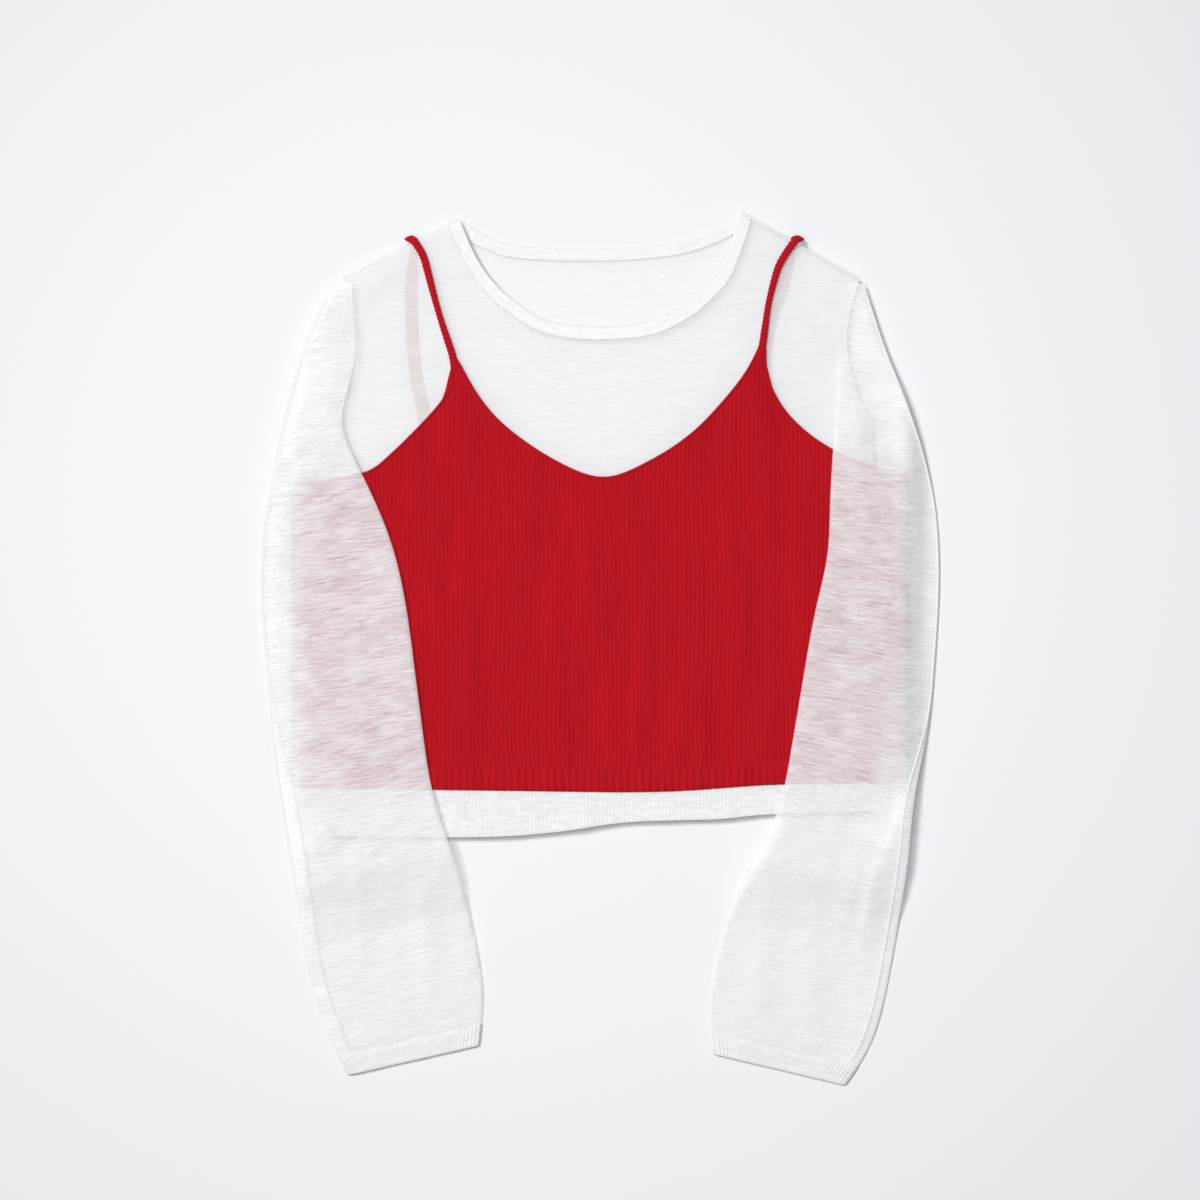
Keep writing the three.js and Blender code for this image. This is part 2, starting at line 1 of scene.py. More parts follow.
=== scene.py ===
"""A two-piece knit cheer set, laid flat: a sheer long-sleeved top and a ribbed camisole over it.

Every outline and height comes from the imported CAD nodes. The cloth on them is built here as
structured surfaces with modelled ribs, rolled edges and folds. Lengths are in millimetres until a
mesh is made. +X is the wearer's left, +Y points to the collar and +Z is up from the table.
"""
import json
import math

import bpy
import numpy as np
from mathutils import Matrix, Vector
from mathutils.bvhtree import BVHTree


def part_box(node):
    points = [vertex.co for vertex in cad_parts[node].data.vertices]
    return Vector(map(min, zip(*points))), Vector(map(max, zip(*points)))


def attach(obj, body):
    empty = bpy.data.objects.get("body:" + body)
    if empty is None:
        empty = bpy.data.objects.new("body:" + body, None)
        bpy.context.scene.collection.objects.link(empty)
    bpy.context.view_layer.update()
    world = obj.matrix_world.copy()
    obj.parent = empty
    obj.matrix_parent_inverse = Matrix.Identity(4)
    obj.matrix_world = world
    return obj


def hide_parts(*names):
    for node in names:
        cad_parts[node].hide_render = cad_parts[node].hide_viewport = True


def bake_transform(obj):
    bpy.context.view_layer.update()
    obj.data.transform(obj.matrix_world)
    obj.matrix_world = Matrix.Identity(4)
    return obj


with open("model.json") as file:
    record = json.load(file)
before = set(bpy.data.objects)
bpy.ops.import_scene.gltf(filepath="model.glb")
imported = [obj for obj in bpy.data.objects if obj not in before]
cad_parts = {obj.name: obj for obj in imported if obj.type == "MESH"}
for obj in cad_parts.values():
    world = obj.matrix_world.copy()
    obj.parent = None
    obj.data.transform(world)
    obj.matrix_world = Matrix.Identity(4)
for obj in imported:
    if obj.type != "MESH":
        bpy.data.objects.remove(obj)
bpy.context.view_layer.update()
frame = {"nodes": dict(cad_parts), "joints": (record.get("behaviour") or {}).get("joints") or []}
MM = 0.001

# ---- Camera, light and floor ----

VIEW_MIDDLE = (0.0, 0.0343)  # where the camera looks straight down, in metres
VIEW_WIDTH = 0.84  # what it takes in across the table
VIEW_HEIGHT = 2.0
SENSOR = 36.0
FLOOR_HALF = 4.0  # metres


def set_inputs(node, **values):
    """Set a node's inputs, each named with an underscore for a space."""
    for name, value in values.items():
        node.inputs[name.replace("_", " ")].default_value = value


def add_camera():
    data = bpy.data.cameras.new("camera")
    data.sensor_width = SENSOR
    data.lens = SENSOR * VIEW_HEIGHT / VIEW_WIDTH
    camera = bpy.data.objects.new("camera", data)
    camera.location = (*VIEW_MIDDLE, VIEW_HEIGHT)
    bpy.context.collection.objects.link(camera)
    bpy.context.scene.camera = camera


def add_light(name, kind, location, size, strength, colour):
    """A disk in watts, or a sun in watts per square metre with its angle as its size. It is
    placed in metres and points at the middle of the view."""
    data = bpy.data.lights.new(name, kind)
    data.energy = strength
    data.color = colour
    if kind == "SUN":
        data.angle = size
    else:
        data.shape = "DISK"
        data.size = size
    light = bpy.data.objects.new(name, data)
    light.location = location
    aim = Vector((*VIEW_MIDDLE, 0)) - light.location
    light.rotation_euler = aim.to_track_quat("-Z", "Y").to_euler()
    light.visible_camera = False
    bpy.context.collection.objects.link(light)


def add_world(colour, strength):
    world = bpy.data.worlds.new("studio")
    world.use_nodes = True
    set_inputs(world.node_tree.nodes["Background"], Color=(*colour, 1), Strength=strength)
    bpy.context.scene.world = world


def add_floor(colour):
    signs = ((-1, -1), (1, -1), (1, 1), (-1, 1))
    corners = [(x * FLOOR_HALF, y * FLOOR_HALF, 0) for x, y in signs]
    mesh = bpy.data.meshes.new("floor")
    mesh.from_pydata(corners, [], [(0, 1, 2, 3)])
    floor = bpy.data.objects.new("floor", mesh)
    bpy.context.collection.objects.link(floor)
    material = bpy.data.materials.new("paper")
    material.use_nodes = True
    set_inputs(material.node_tree.nodes["Principled BSDF"], Base_Color=(*colour, 1),
               Roughness=0.9, Specular_IOR_Level=0.1)
    mesh.materials.append(material)


add_camera()
add_light("key", "SUN", (-1.4, 1.1, 2.6), math.radians(14), 1.88, (1.0, 0.997, 0.99))
add_light("overhead", "AREA", (-0.14, 0.13, 1.25), 0.7, 8.4, (1.0, 0.995, 0.995))
add_world((0.92, 0.955, 1.0), 0.255)
add_floor((0.752, 0.757, 0.777))
bpy.context.scene.view_settings.view_transform = "Standard"

# ---- Outlines and heights of the CAD nodes ----


def node_triangles(*names):
    """The nodes' triangles, in mm: an (n, 3, 3) array."""
    found = []
    for name in names:
        mesh = frame["nodes"][name].data
        mesh.calc_loop_triangles()
        points = np.array([v.co for v in mesh.vertices]) / MM
        found.append(points[[tuple(t.vertices) for t in mesh.loop_triangles]])
    return np.concatenate(found)


def outline(*names):
    """The outlines of the nodes as seen from above: an (n, 2, 2) array of edges, in mm."""
    edges = []
    for name in names:
        triangles = node_triangles(name)
        normal = np.cross(triangles[:, 1] - triangles[:, 0], triangles[:, 2] - triangles[:, 0])
        seen = {}
        for a, b, c in np.round(triangles[normal[:, 2] > 1e-6], 3):
            for start, end in ((a, b), (b, c), (c, a)):
                key = tuple(sorted((tuple(start), tuple(end))))
                seen[key] = seen.get(key, 0) + 1
        edges += [(key[0][:2], key[1][:2]) for key, count in seen.items()
                  if count == 1 and key[0][:2] != key[1][:2]]
    return np.array(edges)


def reach(edges, origins, directions):
    """How far along each ray the outlines are first and last crossed."""
    origins, directions = np.atleast_2d(origins), np.atleast_2d(directions)
    along = edges[None, :, 1] - edges[None, :, 0]
    to = edges[None, :, 0] - origins[:, None]
    ray = np.broadcast_to(directions, origins.shape)[:, None]
    turn = ray[..., 0] * along[..., 1] - ray[..., 1] * along[..., 0]
    turn = np.where(np.abs(turn) < 1e-12, np.nan, turn)
    far = (to[..., 0] * along[..., 1] - to[..., 1] * along[..., 0]) / turn
    share = (to[..., 0] * ray[..., 1] - to[..., 1] * ray[..., 0]) / turn
    hit = (share >= -1e-6) & (share <= 1 + 1e-6)
    return np.where(hit, far, np.inf).min(1), np.where(hit, far, -np.inf).max(1)


def column_reach(edges, x):
    """Lowest and highest y of the outlines at each x."""
    x = np.asarray(x, float)
    origins = np.stack([x, np.zeros_like(x)], 1)
    return reach(edges, origins, (0.0, 1.0))


def row_reach(edges, y):
    """Lowest and highest x of the outlines at each y."""
    y = np.asarray(y, float)
    origins = np.stack([np.zeros_like(y), y], 1)
    return reach(edges, origins, (1.0, 0.0))


def smooth(start, end, value):
    """0 up to start and 1 from end on, with soft turns."""
    t = np.clip((np.asarray(value, float) - start) / (end - start), 0, 1)
    return t * t * (3 - 2 * t)


def mix(a, b, t):
    return a + (b - a) * t


def box_of(node):
    """The node's lowest and highest corners, in mm."""
    return np.array(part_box(node)) / MM


def middle_z(node):
    return (box_of(node)[0, 2] + box_of(node)[1, 2]) / 2


def run_along(points):
    """How far along a line each of its points is."""
    steps = np.linalg.norm(np.diff(points, axis=0), axis=1)
    return np.concatenate([[0], np.cumsum(steps)])


# ---- Noise and folds ----


def waves(x, y, pitch, seed, layers=5):
    """Smooth unevenness from -1 to 1 with about that pitch, the same on every run."""
    rng = np.random.default_rng(seed)
    total = np.zeros(np.broadcast(x, y).shape)
    for _ in range(layers):
        angle, phase = rng.uniform(0, 2 * math.pi, 2)
        scale = 2 * math.pi / (pitch * rng.uniform(0.7, 1.5))
        total = total + np.sin(scale * (x * math.cos(angle) + y * math.sin(angle)) + phase)
    return total / layers


def fold(x, y, path, rise, widths):
    """A soft fold along a path: its crest is rise high, and it falls off over widths[0] on the
    left of the path's direction and widths[1] on the right, fading out at both ends."""
    best = np.full(np.shape(x), np.inf)
    side = np.zeros(np.shape(x))
    place = np.zeros(np.shape(x))
    path = np.array(path, float)
    steps = np.linalg.norm(np.diff(path, axis=0), axis=1)
    starts = run_along(path)
    for i, step in enumerate(steps):
        direction = (path[i + 1] - path[i]) / step
        dx, dy = x - path[i, 0], y - path[i, 1]
        t = np.clip(dx * direction[0] + dy * direction[1], 0, step)
        away = np.hypot(dx - t * direction[0], dy - t * direction[1])
        nearer = away < best
        best = np.where(nearer, away, best)
        side = np.where(nearer, direction[0] * dy - direction[1] * dx, side)
        place = np.where(nearer, (starts[i] + t) / starts[-1], place)
    width = np.where(side > 0, widths[0], widths[1])
    fade = np.sin(np.pi * np.clip(place, 0.02, 0.98)) ** 0.7
    return rise * np.exp(-((best / width) ** 2)) * fade


def add_folds(height, x, y, folds):
    """The height with folds added, each given as its path, rise and widths."""
    for path, rise, widths in folds:
        height = height + fold(x, y, path, rise, widths)
    return height


# ---- Meshes ----

SIDE_SPREAD = 9.0  # the camisole's sides lie this much further out under the sleeves
SPREAD_FROM, SPREAD_TO = 160, 206  # how far from the middle the spreading starts and is whole
TABLE_GAP = 0.05  # nothing goes below this


def add_mesh(name, vertices, faces, uv, material, slot, body, stands_for):
    """A cloth piece from vertices in mm, with its own UV map in cloth millimetres."""
    vertices = np.array(vertices, float)
    if body == "camisole":
        x = vertices[:, 0]
        spread = SIDE_SPREAD * smooth(SPREAD_FROM, SPREAD_TO, np.abs(x))
        vertices[:, 0] = x + np.sign(x) * spread
    vertices[:, 2] = np.maximum(vertices[:, 2], TABLE_GAP)
    mesh = bpy.data.meshes.new(name)
    mesh.from_pydata((vertices * MM).tolist(), [], np.asarray(faces).tolist())
    layer = mesh.uv_layers.new(name="cloth_uv")
    corners = np.empty(len(mesh.loops), dtype=np.int64)
    mesh.loops.foreach_get("vertex_index", corners)
    layer.data.foreach_set("uv", (np.asarray(uv) * MM)[corners].astype(np.float32).ravel())
    mesh.polygons.foreach_set("use_smooth", np.ones(len(mesh.polygons), dtype=bool))
    mesh.materials.append(material)
    mesh.update()
    piece = bpy.data.objects.new(name, mesh)
    bpy.context.collection.objects.link(piece)
    if body:
        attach(piece, body)
    if stands_for:
        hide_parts(*stands_for)
    return piece


def grid_faces(rows, columns, wrap=False, flip=False, start=0):
    """Quads of a grid of vertices, row by row. A wrapped grid closes round its columns."""
    last = columns if wrap else columns - 1
    i, j = np.meshgrid(np.arange(rows - 1), np.arange(last), indexing="ij")
    a, b = i * columns + j, i * columns + (j + 1) % columns
    quads = np.stack([a, b, b + columns, a + columns], -1).reshape(-1, 4) + start
    return quads[:, ::-1] if flip else quads


def add_grid(name, grid, uv, *finish, wrap=False, flip=False):
    """A piece from a grid of vertices."""
    faces = grid_faces(*grid.shape[:2], wrap=wrap, flip=flip)
    return add_mesh(name, grid.reshape(-1, 3), faces, uv.reshape(-1, 2), *finish)


# ---- Materials ----

WAVE_SCALE = 2 * math.pi / 20  # the wave texture's scale for one band in each unit


class Knit:
    """A cloth material, with its nodes laid on the piece's own UV map."""

    def __init__(self, name, roughness, sheen):
        self.material = bpy.data.materials.new(name)
        self.material.use_nodes = True
        self.tree = self.material.node_tree
        self.shader = self.tree.nodes["Principled BSDF"]
        set_inputs(self.shader, Roughness=roughness, Specular_IOR_Level=0.04, Sheen_Weight=sheen,
                   Sheen_Roughness=0.6)
        self.uv = self.node("UVMap", {"uv_map": "cloth_uv"}).outputs["UV"]

    def link(self, source, target):
        self.tree.links.new(source, target)

    def node(self, kind, settings=None, links=None, **values):
        """A new node, with its settings, links to its inputs and the inputs' own values."""
        made = self.tree.nodes.new(f"ShaderNode{kind}")
        for name, value in (settings or {}).items():
            setattr(made, name, value)
        for name, source in (links or {}).items():
            self.link(source, made.inputs[name])
        set_inputs(made, **values)
        return made

    def stretched(self, across, along):
        """The cloth's place, scaled so that 1 is that many mm across and along."""
        scale = (1 / (across * MM), 1 / (along * MM), 1)
        return self.node("Mapping", links={"Vector": self.uv}, Scale=scale).outputs["Vector"]

    def from_fold(self):
        """How far across the cloth a place is from where u is 0, in metres."""
        parts = self.node("SeparateXYZ", links={"Vector": self.uv})
        return self.math("ABSOLUTE", parts.outputs["X"], 0.0)

    def noise(self, across, along, detail=2.0, distortion=0.0, roughness=0.5):
        return self.node("TexNoise", links={"Vector": self.stretched(across, along)}, Scale=1,
                         Detail=detail, Roughness=roughness, Distortion=distortion).outputs["Fac"]

    def bands(self, pitch, direction="X", distortion=0.0, detail_scale=1.0):
        """Sine bands of that pitch in mm, lowest at 0."""
        return self.node("TexWave", {"bands_direction": direction},
                         {"Vector": self.stretched(pitch, pitch)}, Scale=WAVE_SCALE,
                         Distortion=distortion, Detail_Scale=detail_scale).outputs["Fac"]

    def ramp(self, source, low, high, start=0.0, end=1.0):
        """source between start and end, mapped to low and high."""
        return self.node("MapRange", links={"Value": source}, From_Min=start, From_Max=end,
                         To_Min=low, To_Max=high).outputs["Result"]

    def math(self, kind, a, b):
        """A maths node. Each input is a number or another node's output."""
        node = self.node("Math", {"operation": kind})
        for socket, value in zip(node.inputs, (a, b)):
            if isinstance(value, (int, float)):
                socket.default_value = value
            else:
                self.link(value, socket)
        return node.outputs["Value"]

    def weighed(self, a, a_share, b, b_share):
        return self.math("ADD", self.math("MULTIPLY", a, a_share),
                         self.math("MULTIPLY", b, b_share))

    def colours(self, factor, low, high):
        node = self.node("Mix", {"data_type": "RGBA"}, {"Factor": factor}, A=(*low, 1),
                         B=(*high, 1))
        self.link(node.outputs["Result"], self.shader.inputs["Base Color"])

    def bump(self, height, depth):
        """Bump of that depth in mm."""
        node = self.node("Bump", links={"Height": height}, Distance=depth * MM, Strength=1.0)
        self.link(node.outputs["Normal"], self.shader.inputs["Normal"])


FOLD_COVER_FROM, FOLD_COVER_TO = 0.008, 0.034  # metres from a fold over which its cover fades


def sheer_knit(name, least, most, low, high, fold_cover=0.0):
    """Fine slub knit: uneven yarn in courses across the cloth, open enough to see through. It
    covers from least to most of what is under it, and fold_cover more where u is 0."""
    knit = Knit(name, 0.92, 0.1)
    slub = knit.noise(15, 1.3, detail=4.0, distortion=0.35, roughness=0.65)
    cloud = knit.noise(24, 12, detail=3.0, distortion=0.4)
    yarn = knit.weighed(slub, 0.62, cloud, 0.38)
    wales = knit.bands(1.15, "X", distortion=1.2, detail_scale=2.0)
    knit.colours(yarn, low, high)
    cover = knit.ramp(yarn, least, most, 0.38, 0.62)
    if fold_cover:
        by_fold = knit.ramp(knit.from_fold(), fold_cover, 0.0, FOLD_COVER_FROM, FOLD_COVER_TO)
        cover = knit.math("ADD", cover, by_fold)
    knit.link(cover, knit.shader.inputs["Alpha"])
    knit.bump(knit.math("ADD", knit.math("MULTIPLY", wales, 0.5), slub), 0.022)
    return knit.material


def white_rib_knit(name, pitch, low, high):
    """Denser white rib, for the hems, cuffs and neck band, with painted shade in the hollows
    between its ribs.
    """
    knit = Knit(name, 0.9, 0.1)
    ribs = knit.bands(pitch, "X", distortion=0.3)
    courses = knit.bands(1.1, "Y", distortion=1.0, detail_scale=2.0)
    uneven = knit.noise(9, 3, detail=2.0)
    # painted shade in the hollows between the ribs, times random unevenness of tone
    knit.colours(knit.math("MULTIPLY", ribs, uneven), low, high)
    knit.link(knit.ramp(uneven, 0.62, 0.78, 0.35, 0.65), knit.shader.inputs["Alpha"])
    knit.bump(knit.math("ADD", ribs, knit.math("MULTIPLY", courses, 0.3)), 0.07)
    return knit.material


def red_rib_knit(name, pitch, low, high):
    """Close red rib, with painted shade that darkens its colour in the hollows between its ribs,
    and uneven in tone along them.
    """
    knit = Knit(name, 0.95, 0.02)
    ribs = knit.bands(pitch, "X")
    stitches = knit.bands(1.7, "Y", distortion=1.5, detail_scale=3.0)
    broad = knit.noise(16, 120, detail=2.0)
    fine = knit.noise(2.2, 9, detail=2.0)
    tone = knit.ramp(knit.weighed(broad, 0.62, fine, 0.38), 0, 0.65, 0.34, 0.66)
    # painted shade in the hollows between the ribs, plus random unevenness of tone
    shade = knit.math("ADD", knit.math("MULTIPLY", ribs, 0.35), tone)
    knit.colours(shade, low, high)
    knit.bump(knit.math("ADD", knit.math("MULTIPLY", stitches, 0.5), fine), 0.14)
    return knit.material


RIB_PITCH = 3.0
HEM_RIB_PITCH = 5.1
EDGE_RIB_PITCH = 1.6
WHITE_RIB_PITCH = 2.6
NECK_RIB_PITCH = 1.9
CUFF_RIB_PITCH = 2.7
RED_LOW = (0.335, 0.0045, 0.0095)
RED_HIGH = (0.445, 0.0075, 0.0145)
sheer = sheer_knit("sheer_white_knit", 0.41, 0.49, (0.93, 0.933, 0.95), (0.945, 0.947, 0.955))
sleeve_sheer = sheer_knit("sheer_sleeve_knit", 0.22, 0.58, (0.935, 0.937, 0.957),
                          (0.945, 0.947, 0.96), fold_cover=0.2)
white_rib = white_rib_knit("white_rib_knit", WHITE_RIB_PITCH, (0.87, 0.872, 0.877),
                           (0.905, 0.907, 0.91))
neck_rib = white_rib_knit("white_neck_rib", NECK_RIB_PITCH, (0.91, 0.912, 0.92),
                          (0.935, 0.937, 0.94))
seam_white = sheer_knit("white_seam", 0.4, 0.6, (0.91, 0.912, 0.93), (0.93, 0.93, 0.94))
red_body = red_rib_knit("red_rib_knit", RIB_PITCH, RED_LOW, RED_HIGH)
red_hem = red_rib_knit("red_hem_rib", HEM_RIB_PITCH, RED_LOW, RED_HIGH)
red_edge = red_rib_knit("red_edge_knit", EDGE_RIB_PITCH, (0.36, 0.005, 0.0105),
                        (0.445, 0.008, 0.0155))

# ---- Shared shapes ----

SIDES = (("left", 1), ("right", -1))
UNDERARM_Y = 161.0  # where the top's side seams start
CAMISOLE_UNDERARM_Y = 118.0
ROLL = 9.0  # how far in from an edge the front and back come together
SEAM_RIPPLE = 0.03  # a share of a seam's thickness


def ledge(distance, width=ROLL):
    """0 at an edge and 1 from width inwards, rounded like the side of a pillow."""
    inward = np.clip(distance / width, 0, 1)
    return np.sqrt(np.clip(1 - (1 - inward) ** 2, 0, 1))


def tube_along(path, across, up, half_width, half_height, points=10, ripple=0.0, ripple_pitch=3.0):
    """An oval section swept along a path: a grid of rings, and how far along each ring is."""
    path = np.asarray(path, float)
    turn = np.arange(points) / points * 2 * math.pi
    length = run_along(path)
    swell = 1 + ripple * np.sin(2 * math.pi * length[:, None] / ripple_pitch + turn[None])
    wide = (np.cos(turn)[None] * swell)[..., None] * np.asarray(across)[:, None]
    high = (np.sin(turn)[None] * swell)[..., None] * np.asarray(up)[:, None]
    grid = path[:, None] + wide * np.reshape(half_width, (-1, 1, 1)) \
        + high * np.reshape(half_height, (-1, 1, 1))
    return grid, length


def sweep(name, path, half_width, half_height, material, slot, body, stands_for, ups=None,
          points=10, ripple=0.0, ripple_pitch=3.0):
    """A cord or seam along a path, with round ends. Its width and height may change along it,
    and it swells and thins by the share ripple, as twisted yarn does."""
    path = np.asarray(path, float)
    along = np.gradient(path, axis=0)
    along /= np.linalg.norm(along, axis=1)[:, None]
    ups = np.tile([0.0, 0.0, 1.0], (len(path), 1)) if ups is None else np.asarray(ups, float)
    across = np.cross(along, ups)
    across /= np.linalg.norm(across, axis=1)[:, None]
    up = np.cross(across, along)
    taper = np.ones(len(path))
    taper[[0, -1]], taper[[1, -2]] = 0.05, 0.75
    grid, length = tube_along(path, across, up, half_width * taper, half_height * taper, points,
                              ripple, ripple_pitch)
    girth = np.arange(points) / points * math.pi * (np.max(half_width) + np.max(half_height))
    uv = np.stack(np.broadcast_arrays(girth[None], length[:, None]), -1)
    return add_grid(name, grid, uv, material, slot, body, stands_for, wrap=True)


def section_uv(along, around):
    """The cloth's places on a grid of sections: along for each row, around for each column."""
    return np.stack(np.broadcast_arrays(along[:, None], np.array(around)[None]), -1)


def even(points, spacing):
    """The same line with points that far apart."""
    points = np.asarray(points, float)
    length = run_along(points)
    count = max(3, int(round(length[-1] / spacing)) + 1)
    at = np.linspace(0, length[-1], count)
    return np.stack([np.interp(at, length, points[:, k]) for k in range(points.shape[1])], 1)


def eased(points, rounds=3):
    """The line with its small corners smoothed, and its ends kept."""
    points = np.array(points, float)
    for _ in range(rounds):
        points[1:-1] = points[1:-1] * 0.5 + (points[:-2] + points[2:]) * 0.25
    return points


def eased_values(values, rounds):
    return eased(values[:, None], rounds)[:, 0]


# ---- The camisole ----

FRONT_Z = middle_z("camisole_front_panel")
BACK_Z = middle_z("camisole_back_panel")
CAMISOLE_MID_Z = 4.9  # where its front and back meet, at its sides
CAMISOLE_RIGHT_X, CAMISOLE_LEFT_X = box_of("camisole_front_panel")[:, 0]
CAMISOLE_FOLDS = (
    ([(40, 150), (22, 60), (26, -40)], 0.5, (26, 30)),
    ([(-92, 150), (-84, 60), (-70, -70)], 0.45, (24, 28)),
)


def side_distance(x):
    """How far in from the nearer side of the camisole x is."""
    return np.minimum(CAMISOLE_LEFT_X - x, x - CAMISOLE_RIGHT_X)


def camisole_front_z(x, y):
    """The middle of the camisole's front cloth."""
    below_arm = 1 - smooth(CAMISOLE_UNDERARM_Y - 14, CAMISOLE_UNDERARM_Y + 4, y)
    rolled = mix(1, ledge(side_distance(x), 12), below_arm)
    soft = 0.32 * waves(x, y, 150, 11) + 0.14 * waves(x, y, 46, 12)
    return mix(CAMISOLE_MID_Z + 0.4, FRONT_Z + add_folds(soft, x, y, CAMISOLE_FOLDS), rolled)


def camisole_back_z(x, y):
    return mix(CAMISOLE_MID_Z - 0.4, BACK_Z + 0.1, ledge(side_distance(x), 10))


def rib(u, pitch, height, sharp=1.0):
    """A rib's rise at u: lowest at every whole pitch."""
    wave = (1 - np.cos(2 * math.pi * u / pitch)) / 2
    return height * (wave ** sharp - 0.5)


def camisole_columns(step):
    return np.arange(CAMISOLE_RIGHT_X + 0.05, CAMISOLE_LEFT_X - 0.05, step)


def camisole_panel(name, top_edges, height, face, rows, step):
    """The front, with face 1, or the back, with face -1: ribbed columns from hem to upper edge."""
    x = camisole_columns(step)
    low, _ = column_reach(outline(name), x)
    high = eased_values(column_reach(top_edges, x)[1], 40)
    share = np.linspace(0, 1, rows)[:, None]
    y = mix(low - 1.0, high - 0.9, share)
    sway = waves(x[None] + 0 * y, y * 0.6, 70, 13) * 1.5 * smooth(0, 0.12, share) \
        * smooth(0, 26, high - y)
    column = np.broadcast_to(x, y.shape)
    swayed = column + sway * smooth(0, 14, side_distance(column))
    z = height(swayed, y) + face * rib(column, RIB_PITCH, 0.62)
    grid = np.stack([swayed, y, z], -1)
    return add_grid(name, grid, np.stack([column, y], -1), red_body, "red_rib_knit", "camisole",
                    [name], flip=face < 0)


HEM_OVERLAP = 0.7  # how far a hem goes up over its panel


def camisole_hem(name, height, face):
    """The camisole's broad ribbed hem, round its bottom edge."""
    x = camisole_columns(0.85)
    low, high = column_reach(outline(name), x)
    depth = high - low + HEM_OVERLAP
    ribs = rib(x, HEM_RIB_PITCH, 1.0, 0.7)
    # the section runs down the outer face, round the bottom edge and up the inner face
    down = [(-0.02, 0.25), (0.0, 0.6), (0.1, 0.8), (0.3, 0.85), (0.55, 0.85), (0.8, 0.85),
            (0.93, 0.75), (1.0, 0.25), (0.99, -0.3), (0.85, -0.6), (0.5, -0.65), (0.05, -0.6)]
    columns = []
    for share, out in down:
        y = high + HEM_OVERLAP - share * depth + (0.28 * ribs if share > 0.9 else 0)
        rise = out + (ribs * 0.75 if out > 0 else 0)
        columns.append(np.stack([x, y, height(x, y) + face * rise], -1))
    grid = np.stack(columns, 1)
    uv = section_uv(x, [share * 16 for share, _ in down])
    return add_grid(name, grid, uv, red_hem, "red_rib_knit", "camisole", [name], wrap=True,
                    flip=face < 0)


def fan_reach(name, centre, start, end, count):
    """The rays of a fan, start to end in degrees, that cross a CAD node, and where each does."""
    turn = np.radians(np.linspace(start, end, count))
    ray = np.stack([np.cos(turn), np.sin(turn)], 1)
    near, far = reach(outline(name), np.tile(centre, (count, 1)), ray)
    good = np.isfinite(near) & np.isfinite(far)
    return ray[good], near[good], far[good]


EDGING_SHARE = 0.62  # how much of its node's width an edging takes up
EDGING_LIFT = 0.12
EDGING_HALF_HEIGHT = 0.5


def edging(name, centre, start, end):
    """A knitted edge: a flattened tube that follows its CAD node, found by rays from a centre."""
    ray, near, far = fan_reach(name, centre, start, end, int(abs(end - start) / 0.6) + 1)
    far = mix(near, far, EDGING_SHARE)
    middle = np.asarray(centre) + ray * ((near + far) / 2)[:, None]
    middle = eased(middle, 25)
    path = np.column_stack([middle, camisole_front_z(middle[:, 0], middle[:, 1]) + EDGING_LIFT])
    along = np.gradient(path, axis=0)
    along[:, 2] = 0
    along /= np.linalg.norm(along, axis=1)[:, None]
    across = np.cross(along, [0.0, 0.0, 1.0])
    tilt = np.abs((across[:, :2] * ray).sum(1))
    half = eased_values((far - near) / 2 * tilt, 4)
    return sweep(name, path, half, EDGING_HALF_HEIGHT, red_edge, "red_edge", "camisole", [name],
                 points=12)


front_panel = camisole_panel(
    "camisole_front_panel",
    outline("camisole_front_panel", "camisole_neck_binding", "camisole_left_armhole_binding",
            "camisole_right_armhole_binding"), camisole_front_z, 1, 104, 0.6)
back_panel = camisole_panel(
    "camisole_back_panel", outline("camisole_back_panel", "camisole_back_binding"),
    camisole_back_z, -1, 60, 0.75)
front_hem = camisole_hem("camisole_front_hem_rib", camisole_front_z, 1)
back_hem = camisole_hem("camisole_back_hem_rib", camisole_back_z, -1)
front_edgings = [edging("camisole_neck_binding", (5, 235), -168, -11),
                 edging("camisole_left_armhole_binding", (216, 222), 175, 268),
                 edging("camisole_right_armhole_binding", (-216, 216), 5, -88)]


def back_edging():
    """The camisole's back edge, which runs almost straight across."""
    name = "camisole_back_binding"
    x = np.linspace(CAMISOLE_RIGHT_X + 1, CAMISOLE_LEFT_X - 1, 160)
    low, high = column_reach(outline(name), x)
    y = (low + high) / 2
    path = np.column_stack([x, y, camisole_back_z(x, y)])
    return sweep(name, path, 1.5, 0.55, red_edge, "red_edge", "camisole", [name])


def camisole_seam(side, out):
    name = f"camisole_{side}_side_seam"
    box = box_of(name)
    y = np.arange(box[0, 1] + 0.5, box[1, 1] - 0.5, 2.0)
    x = (box[0, 0] + box[1, 0]) / 2 - out * 0.4
    path = np.column_stack([np.full_like(y, x), y, np.full_like(y, CAMISOLE_MID_Z)])
    return sweep(name, path, 0.95, 1.25, red_body, "red_rib_knit", "camisole", [name],
                 ripple=SEAM_RIPPLE)


back_edge = back_edging()
camisole_seams = [camisole_seam(side, out) for side, out in SIDES]


def strap_line(name, above):
    """The middle line of a strap's front or back run, from its foot up, in mm."""
    triangles = node_triangles(name)
    facing = np.cross(triangles[:, 1] - triangles[:, 0], triangles[:, 2] - triangles[:, 0])[:, 2]
    heights = triangles[:, :, 2]
    middle = (FRONT_Z + BACK_Z) / 2
    run = (facing > 1e-6) & (heights.min(1) > middle) if above \
        else (facing < -1e-6) & (heights.max(1) < middle)
    chosen = triangles[run][:, :, :2]
    edges = np.concatenate([chosen[:, [0, 1]], chosen[:, [1, 2]], chosen[:, [2, 0]]])
    low, high = edges[..., 1].min(), edges[..., 1].max()
    y = np.arange(low + 0.6, high - 2.2, 1.5)
    first, last = row_reach(edges, y)
    return eased(np.column_stack([(first + last) / 2, y]), 4)


STRAP_SINK = 1.0  # how deep a strap's foot starts in the front's cloth
STRAP_LIFT = 1.55  # how much it rises from there


